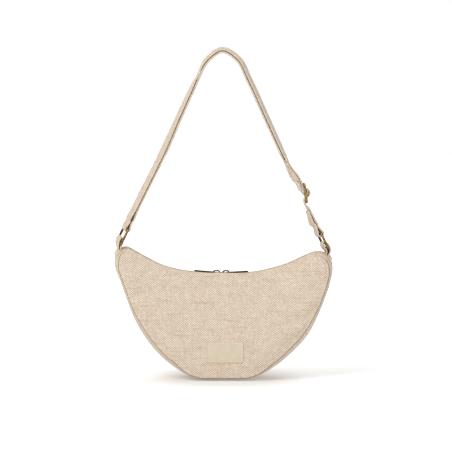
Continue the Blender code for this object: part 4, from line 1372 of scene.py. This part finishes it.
def braided(point, cut, across, half_way, turn):
    """The width direction that the layers share between the doubled stretch and the top bar."""
    if point.z >= half_way.z:
        return level_out(across, cut, half_way, point)
    bar = ADJUSTER.spot(-ADJUSTER_PITCH, 0.0)
    share = min((half_way.z - point.z) / (half_way.z - bar.z), 1.0)
    angle = turn * smooth(share / SEWN_TWIST_PEAK) * smooth((1.0 - share) * BRAID_END)
    return twisted((bar - half_way).normalized(), angle)[0]


def level_out(across, start, end, point):
    """The width direction that turns from one at a start point to level at an end point."""
    share = smooth((start.z - point.z) / (start.z - end.z))
    return across.lerp(LEVEL, share).normalized()


def make_running_ends(ways):
    """The outer layer's end, in two pieces that meet behind the adjuster's middle bar."""
    cut, cut_across = LOOP.station(LOOP.line.length, 1)
    half_way, way = ways
    near = ADJUSTER.near
    far = ADJUSTER.far
    pitch = ADJUSTER_PITCH
    above = [cut, way, ADJUSTER.spot(-pitch, -near), ADJUSTER.spot(-pitch * 0.68, -near * 0.86),
             ADJUSTER.spot(-far * 1.12, -near * 0.36)]
    below = [ADJUSTER.spot(far * 1.12, -near * 0.36), ADJUSTER.spot(pitch * 0.68, -near * 0.86),
             ADJUSTER.spot(pitch, -near)]
    upper_turn = ADJUSTER.arc(far, -75.0, 0.0)
    lower_turn = ADJUSTER.arc(far, 0.0, 75.0)
    along = (ADJUSTER.spot(pitch, -near) - RIGHT.high).normalized()
    radius = RING_WIRE + GAP + EYE_PLAY + STRAP_THICKNESS / 2
    turn = eye(RIGHT.high, along, RIGHT.across, radius, ADJUSTER.step, RING_NECK)
    if (turn[0] - turn[-1]).dot(RIGHT.out) < 0.0:
        turn.reverse()
    middle = (turn[0] + turn[-1]) / 2
    onward = (middle - RIGHT.high).normalized()
    first = []
    second = []
    doubled = []
    for count in range(1, DOUBLED_STATIONS + 1):
        share = count / DOUBLED_STATIONS
        across = twisted(-onward, twist_at(share, FOLD_TWISTS))[0]
        side = onward.cross(across).normalized()
        if side.dot(turn[0] - middle) < 0.0:
            side = -side
        place = middle + onward * ((FOLD_BACK - RING_NECK) * share)
        peak = math.exp(-((share - FOLD_BOW_PEAK) / FOLD_BOW_REACH) ** 2)
        bow = FOLD_BOW * smooth(share / FOLD_BOW_START) * peak
        first.append(place + side * (ADJUSTER.step / 2 - bow * FOLD_BOW_OUTER))
        second.append(place - side * (ADJUSTER.step / 2 + bow))
        doubled.append(across)
    start = first[-1]

    upper = spaced(above, FINE_STEP)[:-1] + spaced([above[-1], *upper_turn], FINE_STEP)
    piece = Piece()
    widths = [braided(point, cut, cut_across, half_way, RUNNING_TWIST) for point in upper]
    run = make_band(piece, band_frames(upper, widths), STRAP_WIDTH, STRAP_THICKNESS)
    blend_strap(piece, "strap_running_upper", (), cut, ADJUSTER.spot(-pitch, 0.0))

    lower = spaced([*lower_turn, below[0]], FINE_STEP)[:-1] + spaced([*below, start], FINE_STEP)
    low_bar = ADJUSTER.spot(pitch, -near)
    widths = []
    for point in lower[:-1]:
        share = smooth((low_bar.z - point.z) / (low_bar.z - start.z)) if point.z < low_bar.z else 0.0
        widths.append(LEVEL.lerp(doubled[-1], share).normalized())
    path = lower[:-1] + list(reversed(first)) + turn + second
    widths += list(reversed(doubled)) + [RIGHT.across] * len(turn) + doubled
    piece = Piece()
    frames = band_frames(path, widths)
    make_band(piece, frames, STRAP_WIDTH, STRAP_THICKNESS, run)
    box_stitch(piece, [frames[-2], frames[-4]], STRAP_WIDTH, STRAP_THICKNESS)
    blend_strap(piece, "strap_running_lower", ["strap_running_end"], RIGHT.high,
                ADJUSTER.spot(pitch, 0.0))


def wall_fall(seat, share):
    """How a tab falls away from its middle line across the gusset's rounded wall."""
    crest = CREST.at(seat)
    half = half_depth(crest.z)
    inward = -outward(seat)

    def fall(u):
        off = abs(u) / half
        down = bulge(crest.z) * off * off + seam_dip(half - abs(u)) - seam_dip(half)
        return inward * (down * share)
    return fall


def tab_leg(from_end, first, last, stand):
    """A tab's sewn leg: points above the gusset's middle, and their places along it."""
    points = []
    seats = []
    for share in shares_of(8):
        seat = mix(first, last, share) / CREST.length
        seats.append(1.0 - seat if from_end else seat)
        points.append(CREST.at(seats[-1]) + outward(seats[-1]) * stand)
    return points, seats


def make_tab(side, ring, from_end, outer, inner, loop):
    """A folded tab: two legs sewn along the rounded gusset, and a slack loop round the bar."""
    outer_leg, outer_seats = tab_leg(from_end, *outer)
    inner_leg, inner_seats = tab_leg(from_end, *inner)
    round_bar = [ring.low + flat(x, z) for x, z in loop]
    trail = Trail([outer_leg[1], outer_leg[0], *round_bar, inner_leg[0], inner_leg[1]])
    first = (outer_leg[1] - outer_leg[0]).length
    last = trail.length - (inner_leg[1] - inner_leg[0]).length
    count = int((last - first) / TAB_STEP)
    path = list(reversed(outer_leg))
    stations = [(seat, 1.0) for seat in reversed(outer_seats)]
    for step in range(1, count):
        distance = mix(first, last, step / count)
        path.append(trail.place(distance))
        held = 1.0 - smooth(min(distance - first, last - distance) / TAB_EASE)
        stations.append((outer_seats[0] if step < count / 2 else inner_seats[0], held))
    path += inner_leg
    stations += [(seat, 1.0) for seat in inner_seats]
    widths = [ring.across.lerp(LEVEL, held) for seat, held in stations]
    falls = [wall_fall(seat, held) for seat, held in stations]
    swells = [mix(TAB_LOOP_THICKNESS / TAB_THICKNESS, 1.0, held) for seat, held in stations]
    frames = band_frames(path, softened(widths, 2), falls, swells)
    piece = Piece()
    make_band(piece, frames, TAB_WIDTH, TAB_THICKNESS)
    sewn = [frames[1], frames[7], frames[-2], frames[-8]]
    box_stitch(piece, sewn, TAB_WIDTH, TAB_THICKNESS)
    made = piece.finish("folded_tab_" + side, [CANVAS_CLOTH, THREAD], None, ["tab_" + side],
                        "canvas")
    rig.blend(made, "bag", "tabs", (outer_leg[1] + inner_leg[1]) / 2, ring.low)


# Metal and zip


def wire_path(points, radius, sides, closed):
    """Rings of a round wire along points, kept from turning about it."""
    last = len(points) - 1
    rings = []
    up = None
    for index, point in enumerate(points):
        before = points[index - 1 if index or closed else 0]
        after = points[index + 1 if index < last else 0 if closed else last]
        along = (after - before).normalized()
        if up is None:
            up = along.orthogonal()
        up = (up - along * up.dot(along)).normalized()
        across = along.cross(up)
        rings.append([point + (up * a + across * b) * radius for a, b in circle(sides)])
    return rings


def frame_points(centre, along, across, half_length, half_width, corner):
    """The middle line of a rectangular wire frame with round corners."""
    points = []
    for quarter, (sign_u, sign_v) in enumerate(((1, 1), (-1, 1), (-1, -1), (1, -1))):
        for share in shares_of(8):
            angle = math.radians(90.0 * (quarter + share))
            u = sign_u * (half_length - corner) + corner * math.cos(angle)
            v = sign_v * (half_width - corner) + corner * math.sin(angle)
            points.append(centre + along * u + across * v)
    return points


def make_frame(name, node, centre, along, across, half_length, radius, corner, body, bar=False):
    half_width = STRAP_WIDTH / 2 + BAND_EASE + radius
    points = frame_points(centre, along, across, half_length, half_width, corner)
    rings = wire_path(points, radius, 16, True)
    piece = Piece()
    piece.tube(rings + [rings[0]], None, 0, False)
    if bar:
        ends = [centre + across * mix(-half_width, half_width, share) for share in shares_of(6)]
        piece.tube(wire_path(ends, radius * 0.98, 16, False))
    return piece.finish(name, [BRASS], body, [node], "antique_brass")


def zip_angle(x):
    return math.asin((x - ZIP_CENTRE_X) / ZIP_RADIUS)


def zip_x(angle):
    return ZIP_CENTRE_X + ZIP_RADIUS * math.sin(angle)


ZIP_LEFT = zip_angle(TOP.points[0].x + ZIP_LEFT_MARGIN)
ZIP_RIGHT = zip_angle(TOP.points[-1].x - ZIP_RIGHT_MARGIN)
ZIP_MEETING = zip_angle(SLIDER_MEETING_X)
ZIP_LOW_Z = top_height(ZIP_CENTRE_X) - ZIP_DROP


def zip_point(angle, y=0.0, lift=0.0):
    radius = ZIP_RADIUS - lift
    return Vector((ZIP_CENTRE_X + radius * math.sin(angle), y,
                   ZIP_LOW_Z + ZIP_RADIUS - radius * math.cos(angle)))


def row_spread(x):
    """How far the sliders' wedges push each row from the zip's middle line."""
    away = abs(x - SLIDER_MEETING_X)
    return ROW_SPREAD * smooth((SPREAD_START - away) / (SPREAD_START - SPREAD_END))


def part(made, half, sign):
    """Lets one half of a row or a tape part as its slider opens the zip."""
    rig.squash(made, "zip_open_" + half, (0, 1, 0), (0, sign * PARTED_Y, ZIP_LOW_Z), PARTED_SHARE)


def make_teeth(side, sign):
    """One row's left and right halves: waisted teeth on a corded tape edge."""
    step = TOOTH_PITCH / ZIP_RADIUS
    count = int((ZIP_RIGHT - ZIP_LEFT) / step) - 1
    shift = 0.25 * TOOTH_PITCH * sign / ZIP_RADIUS
    first = (ZIP_LEFT + ZIP_RIGHT) / 2 - (count - 1) / 2 * step + shift
    halves = {"left": Piece(), "right": Piece()}
    for angle in [first + index * step for index in range(count)]:
        x = zip_x(angle)
        rings = []
        for reach, width, tall in TOOTH_RINGS:
            y = sign * (row_spread(x) - reach)
            rings.append([zip_point(angle + du * width / ZIP_RADIUS, y,
                                    dw * TEETH_THICKNESS / 2 * tall) for du, dw in TOOTH_CORNERS])
        if sign < 0:
            rings.reverse()
        halves["left" if x < SLIDER_MEETING_X else "right"].tube(rings)
    for half, low, high in (("left", ZIP_LEFT, ZIP_MEETING), ("right", ZIP_MEETING, ZIP_RIGHT)):
        angles = [mix(low, high, share) for share in shares_of(90)]
        cord = [zip_point(angle, sign * (row_spread(zip_x(angle)) + CORD_MIDDLE))
                for angle in angles]
        halves[half].tube(wire_path(cord, CORD_RADIUS, 8, False), None, 1)
        nodes = ["zip_teeth_" + side] if half == "left" else []
        made = halves[half].finish("teeth_" + side + "_" + half, [BRONZE, TAPE_CLOTH], "bag",
                                   nodes, "bronze")
        part(made, half, sign)


def make_tape(side, sign):
    """One tape's left and right halves, level beside the teeth and rising under the fold."""
    beyond = STOP_LENGTH + 2 * GAP
    chain_left = zip_x(ZIP_LEFT) - beyond
    chain_right = zip_x(ZIP_RIGHT) + beyond
    left = TOP.points[0].x - TAPE_BEYOND
    right = TOP.points[-1].x + TAPE_BEYOND
    fold_edge = HORN_DEPTH / 2 + GAP + CANVAS - FOLD_RADIUS - FOLD_REACH
    for half, low, high in (("left", left, SLIDER_MEETING_X), ("right", SLIDER_MEETING_X, right)):
        rows = [[] for _ in TAPE_REACHES]
        for share in shares_of(110):
            x = mix(low, high, share)
            under = top_height(min(max(x, TOP.points[0].x), TOP.points[-1].x)) - CANVAS - TAPE_ROOM
            past = max((chain_left - x) / (chain_left - left),
                       (x - chain_right) / (right - chain_right))
            arc = ZIP_LOW_Z + ZIP_RADIUS * (1.0 - math.cos(zip_angle(x)))
            level = mix(arc, under - TAPE_STEP, smooth(past))
            inner = CORD_EDGE - GAP + row_spread(x) if past <= 0.0 else 0.0
            for row, reach in zip(rows, TAPE_REACHES):
                y = mix(inner, fold_edge + TAPE_STEP, reach) if reach <= 1.0 else TAPE_EDGE
                z = mix(level, under, smooth((reach - 0.25) / 0.75))
                row.append(Vector((x, sign * y, z)))
        cloth = cloth_rows(rows)
        if sign < 0:
            rows.reverse()
            cloth.reverse()
        piece = Piece()
        piece.grid(rows, cloth)
        made = piece.finish("tape_" + side + "_" + half, [TAPE_CLOTH], None,
                            ["zip_tape_" + side] if half == "left" else [], "zip_tape")
        applied(thicken(made, TAPE_THICKNESS, 0.0))
        settle(made, "bag")
        part(made, half, sign)


def rounded_plate(piece, outline, low, high, round_by):
    """A plate with rounded rims through a flat outline."""
    centre = Vector((sum(x for x, y in outline), sum(y for x, y in outline))) / len(outline)
    rings = []
    for share, inset in RIM_RINGS:
        ring = []
        for x, y in outline:
            toward = (centre - Vector((x, y))).normalized() * (round_by * inset)
            ring.append(Vector((x + toward.x, y + toward.y, low + (high - low) * share)))
        rings.append(ring)
    piece.tube(rings)


def slider_outline():
    half = SLIDER_LENGTH / 2
    nose = SLIDER_NOSE / 2
    tail = SLIDER_TAIL / 2
    return mirrored([
        (half, nose * 0.44), (half * 0.93, nose * 0.72), (half * 0.78, nose * 0.92),
        (half * 0.5, nose), (0.0, mix(nose, tail, 0.52)), (-half * 0.62, tail),
        (-half * 0.85, tail * 0.97), (-half * 0.96, tail * 0.86), (-half, tail * 0.66)])


def make_slider(side, x, turned):
    """A slider: two rounded plates, side flanges, the wedge at its nose and a wire-like crown."""
    room = TEETH_THICKNESS / 2 + GAP
    tall = room + SLIDER_PLATE
    half = SLIDER_LENGTH / 2
    piece = Piece()
    rounded_plate(piece, slider_outline(), room, tall, PLATE_ROUND)
    rounded_plate(piece, slider_outline(), -tall, -room, PLATE_ROUND)
    rim = [(half * 0.5, SLIDER_NOSE / 2), (0.0, mix(SLIDER_NOSE, SLIDER_TAIL, 0.52) / 2),
           (-half * 0.62, SLIDER_TAIL / 2)]
    for sign in (-1.0, 1.0):
        for low, high in ((TAPE_SLOT / 2, room + GAP), (-room - GAP, -TAPE_SLOT / 2)):
            outline = [(u, sign * v) for u, v in rim]
            outline += [(u, sign * (v - FLANGE)) for u, v in reversed(rim)]
            if sign > 0:
                outline.reverse()
            rounded_plate(piece, outline, low, high, FLANGE_ROUND)
    wedge = [(half * u, v) for u, v in WEDGE]
    rounded_plate(piece, wedge, -tall * 0.9, tall * 0.9, FLANGE_ROUND)
    reach = CROWN_LENGTH / 2 - CROWN_END
    top = tall + CROWN_HEIGHT - CROWN_HALF
    arch = []
    for step in shares_of(CROWN_STEPS):
        turn = math.cos(math.pi * step)
        arch.append(flat(-reach * math.copysign(abs(turn) ** CROWN_POWER, turn),
                         mix(tall - CROWN_SUNK, top, abs(math.sin(math.pi * step)) ** CROWN_POWER)))
    rings = []
    for index, point in enumerate(arch):
        along = (arch[min(index + 1, CROWN_STEPS)] - arch[max(index - 1, 0)]).normalized()
        up = LEVEL.cross(along)
        rings.append([point + LEVEL * (CROWN_SECTION[0] * a) + up * (CROWN_SECTION[1] * b)
                      for a, b in circle(12)])
    piece.tube(rings)
    place = Matrix.Translation(zip_point(zip_angle(x)))
    place @= Matrix.Rotation(-zip_angle(x), 4, "Y")
    if turned:
        place @= Matrix.Rotation(math.pi, 4, "Z")
    piece.verts = [place @ v for v in piece.verts]
    piece.finish("slider_body_" + side, [BRONZE], "zipper_" + side, ["slider_" + side], "bronze")
    make_pull(side, place, tall)


def make_pull(side, place, tall):
    """The flat pull: a slim bar with a window at the crown and a hole at its rounded end."""
    curve = bpy.data.curves.new("pull", "CURVE")
    curve.dimensions = "2D"
    curve.fill_mode = "BOTH"
    curve.bevel_depth = PULL_BEVEL
    curve.bevel_resolution = 2
    curve.extrude = PULL_THICKNESS / 2 - PULL_BEVEL
    near = PULL_WIDTH / 2
    head = PULL_HEAD
    end = PULL_LENGTH - head
    window_end = head + PULL_WINDOW
    upper = [(-head, near * 0.7), (-head * 0.3, near * 0.94), (head * 1.4, near),
             (window_end * 0.85, near), (window_end + near * 0.4, near * 0.93),
             (window_end + near * 1.2, PULL_WAIST), (end - near * 2.1, PULL_WAIST),
             (end - near * 1.5, near * 0.90), (end - near, near * 0.98)]
    for turn in (75.0, 60.0, 45.0, 30.0, 15.0):
        angle = math.radians(turn)
        upper.append((end - near * (1.0 - math.cos(angle)), near * math.sin(angle)))
    upper.append((end, 0.0))
    ring = upper + [(x, -y) for x, y in reversed(upper[:-1])]
    window = mirrored([(head, PULL_OPENING * 0.7), (head * 1.3, PULL_OPENING),
                       (window_end * 0.94, PULL_OPENING), (window_end, PULL_OPENING * 0.7)])
    hole = [(end - near + PULL_HOLE * a, PULL_HOLE * b) for a, b in circle(20)]
    for points in (ring, window, hole):
        spline = curve.splines.new("POLY")
        spline.points.add(len(points) - 1)
        for slot, (x, y) in zip(spline.points, points):
            slot.co = (-x, y, 0.0, 1.0)
        spline.use_cyclic_u = True
    shape = bpy.data.objects.new("pull_shape", curve)
    bpy.context.scene.collection.objects.link(shape)
    mesh = evaluated_mesh(shape)
    bpy.data.objects.remove(shape)
    mesh.name = "pull_" + side
    mesh.uv_layers.new(name="cloth")
    mesh.materials.clear()
    mesh.materials.append(BRONZE)
    lie = Matrix.Translation(flat(-PULL_PIVOT, tall + GAP + PULL_THICKNESS / 2))
    lie @= Matrix.Rotation(PULL_TILT, 4, "Y")
    mesh.transform(place @ lie)
    mesh.shade_smooth()
    mesh.set_sharp_from_angle(angle=SHARP)
    settle(bpy.data.objects.new("pull_bar_" + side, mesh), "grip_" + side, ["pull_" + side],
           "bronze")


def make_patch(front):
    """The bare patch, its edge turned under and stitched down."""
    bpy.context.view_layer.update()
    tree = BVHTree.FromObject(front, bpy.context.evaluated_depsgraph_get())

    def on_panel(x, z, lift):
        place, normal, _, _ = tree.ray_cast(Vector((x, -BASE_DEPTH, z)), LEVEL)
        if normal.y > 0.0:
            normal = -normal
        return place + normal * lift, normal

    rows = []
    for v in PATCH_LINES:
        row = []
        for u in PATCH_LINES:
            edge = min(u * PATCH_WIDTH, (1 - u) * PATCH_WIDTH, v * PATCH_HEIGHT,
                       (1 - v) * PATCH_HEIGHT)
            lift = PATCH_THICKNESS * smooth(edge / PATCH_ROUND + 0.15)
            groove = PATCH_GROOVE * math.exp(-((edge - PATCH_HEM) / PATCH_GROOVE_REACH) ** 2)
            row.append(on_panel(PATCH_X + (u - 0.5) * PATCH_WIDTH,
                                PATCH_Z + (v - 0.5) * PATCH_HEIGHT, lift - groove)[0])
        rows.append(row)
    piece = Piece()
    piece.grid(rows, [[(PATCH_X + (u - 0.5) * PATCH_WIDTH, PATCH_Z + (v - 0.5) * PATCH_HEIGHT)
                       for u in PATCH_LINES] for v in PATCH_LINES])
    half_w = PATCH_WIDTH / 2 - PATCH_HEM
    half_h = PATCH_HEIGHT / 2 - PATCH_HEM
    corners = [(-half_w, -half_h), (half_w, -half_h), (half_w, half_h), (-half_w, half_h)]
    for (x0, z0), (x1, z1) in zip(corners, corners[1:] + corners[:1]):
        spots = [on_panel(PATCH_X + mix(x0, x1, share), PATCH_Z + mix(z0, z1, share),
                          PATCH_THICKNESS - STITCH_OFF) for share in shares_of(24)]
        piece.seam([place for place, normal in spots], [normal for place, normal in spots],
                   PATCH_PITCH, 1, PATCH_STITCH)
    return piece.finish("bare_patch", [PATCH_CLOTH, PATCH_THREAD], "bag", ["patch"], "patch")


def make_lining():
    """The lining: two panels and a gusset, a little slack inside the canvas."""
    piece = Piece()
    inset = CANVAS + LINING_INSET
    shares = [mix(LINING_END, 1.0 - LINING_END, share) for share in shares_of(70)]
    for sign in (-1.0, 1.0):
        rows = []
        for rise in shares_of(20):
            row = []
            for share in shares:
                point = panel_point(share, rise, inset, -LINING_IN)
                slack = LINING_SLACK * math.sin(share * 95.0 + rise * 4.0) * math.sin(math.pi * rise)
                point.y = (point.y - abs(slack)) * sign
                point.z -= LINING_DROP * rise
                row.append(point)
            rows.append(row if sign > 0 else list(reversed(row)))
        piece.grid(rows, [[(p.x, p.z) for p in row] for row in rows])
    rows = [[gusset_point(share, mix(-LINING_ACROSS, LINING_ACROSS, across), inset)
             for share in shares] for across in shares_of(12)]
    piece.grid(rows, cloth_rows(rows))
    made = piece.finish("lining", [LINING_CLOTH], None,
                        ["lining_front", "lining_back", "lining_gusset"], "lining")
    applied(thicken(made, LINING_THICKNESS, 0.0))
    return settle(made, "bag")


# Making


def make_body():
    """The sewn bag: panels, gusset, patch, lining and the stitches beside the zip."""
    front = make_panel("panel_front", -1.0)
    settle(front, "bag", ["front_panel"], "canvas")
    settle(make_panel("panel_back", 1.0), "bag", ["back_panel"], "canvas")
    settle(make_gusset("gusset_strip"), "bag", ["gusset"], "canvas")
    make_patch(front)
    make_lining()
    make_hem_stitches()


def make_hem_stitches():
    """Two rows of stitches along each turned-in top edge, which hold the tape."""
    piece = Piece()
    for sign in (-1.0, 1.0):
        for reach in HEM_STITCHES:
            y = HORN_DEPTH / 2 + GAP + CANVAS - FOLD_RADIUS - FOLD_REACH * reach
            points = [TOP.at(mix(0.01, 0.99, share)) + Vector((0.0, sign * y, STITCH_OFF))
                      for share in shares_of(150)]
            piece.seam(points, [Vector((0.0, 0.0, 1.0))] * len(points), STITCH_PITCH, 0)
    piece.finish("hem_stitches", [THREAD], "bag", (), "canvas")


def make_metal():
    for side, ring in (("left", LEFT), ("right", RIGHT)):
        make_frame("wire_" + side, "ring_" + side, (ring.low + ring.high) / 2, ring.up,
                   ring.across, RING_LENGTH / 2, RING_SHOWN, RING_CORNER, "loop_" + side)
    make_frame("three_bars", "adjuster", ADJUSTER.centre, ADJUSTER.down, LEVEL, ADJUSTER_PITCH,
               ADJUSTER_SHOWN, ADJUSTER_CORNER, "buckle", True)
    make_slider("left", SLIDER_MEETING_X - SLIDER_OFFSET, False)
    make_slider("right", SLIDER_MEETING_X + SLIDER_OFFSET, True)
    for side, sign in (("front", -1.0), ("back", 1.0)):
        make_teeth(side, sign)
        make_tape(side, sign)
    for name in ("zip_stop_left", "zip_stop_right"):
        node = frame["nodes"][name]
        node.data.materials.clear()
        node.data.materials.append(BRONZE)


def make_straps():
    make_strap("strap_doubled")
    ways = make_sewn_end("strap_sewn_back")
    make_running_ends(ways)
    make_tab("left", LEFT, False, *LEFT_TAB)
    make_tab("right", RIGHT, True, *RIGHT_TAB)


def make_camera():
    data = bpy.data.cameras.new("camera")
    data.sensor_width = SENSOR
    data.lens = SENSOR * VIEW_DISTANCE / (PHOTO_PIXELS * PIXEL)
    camera = bpy.data.objects.new("camera", data)
    bpy.context.scene.collection.objects.link(camera)
    back = Vector((0.0, -math.cos(VIEW_ELEVATION), math.sin(VIEW_ELEVATION)))
    camera.location = Vector((VIEW_X, 0.0, VIEW_Z)) + back * VIEW_DISTANCE
    camera.rotation_euler = (-back).to_track_quat("-Z", "Y").to_euler()
    bpy.context.scene.camera = camera


def make_floor():
    """A pale floor that reads as white where nothing shades it, with a painted shadow: it glows less near the bag."""
    bpy.ops.mesh.primitive_plane_add(size=FLOOR_SIZE, location=FLOOR_PLACE)
    floor = bpy.context.object
    floor.name = "floor"
    n = Nodes("floor")
    n.tree.nodes.remove(n.shader)
    place = n.add("ShaderNodeNewGeometry").outputs["Position"]
    away = n.add("ShaderNodeVectorMath", {0: place}, operation="LENGTH").outputs["Value"]
    # Less glow near the bag: a painted contact shadow on the floor.
    close = n.remap(away, *NEAR_FLOOR, UNDER_GLOW, FLOOR_GLOW)
    lift = n.times(n.seen(), n.math("MAXIMUM", close, n.remap(away, *FAR_FLOOR)))
    diffuse = n.add("ShaderNodeBsdfDiffuse", {"Color": FLOOR_COLOUR})
    glow = n.add("ShaderNodeEmission", {"Color": WHITE,
                                        "Strength": n.math("MAXIMUM", lift, FLOOR_BOUNCE)})
    both = n.add("ShaderNodeAddShader", {0: diffuse.outputs[0], 1: glow.outputs[0]})
    n.put(n.tree.nodes["Material Output"], "Surface", both.outputs[0])
    floor.data.materials.append(n.material)
    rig.stage(floor)


def make_light(name, place, size, watts):
    data = bpy.data.lights.new(name, "AREA")
    data.shape = "SQUARE"
    data.size = size
    data.energy = watts
    light = bpy.data.objects.new(name, data)
    bpy.context.scene.collection.objects.link(light)
    light.location = place
    aim = flat(0.0, AIM_Z) - Vector(place)
    light.rotation_euler = aim.to_track_quat("-Z", "Y").to_euler()


def make_studio():
    """Soft light from all sides and three lamps, with a background that reads as white."""
    scene = bpy.context.scene
    scene.view_settings.view_transform = "Standard"
    scene.world = bpy.data.worlds.new("studio")
    n = Nodes("studio", scene.world)
    background = n.tree.nodes["Background"]
    n.put(background, "Color", WHITE)
    n.put(background, "Strength", n.remap(n.seen(), 0.0, 1.0, WORLD_LIGHT, 1.0))
    for lamp in LAMPS:
        make_light(*lamp)


make_camera()
make_studio()
make_floor()
make_body()
make_metal()
make_straps()

with open("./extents.json", "w") as report:
    json.dump({"cad": [list(corner) for corner in CAD_BOX],
               "visual": [list(corner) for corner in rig.bounds()]}, report)
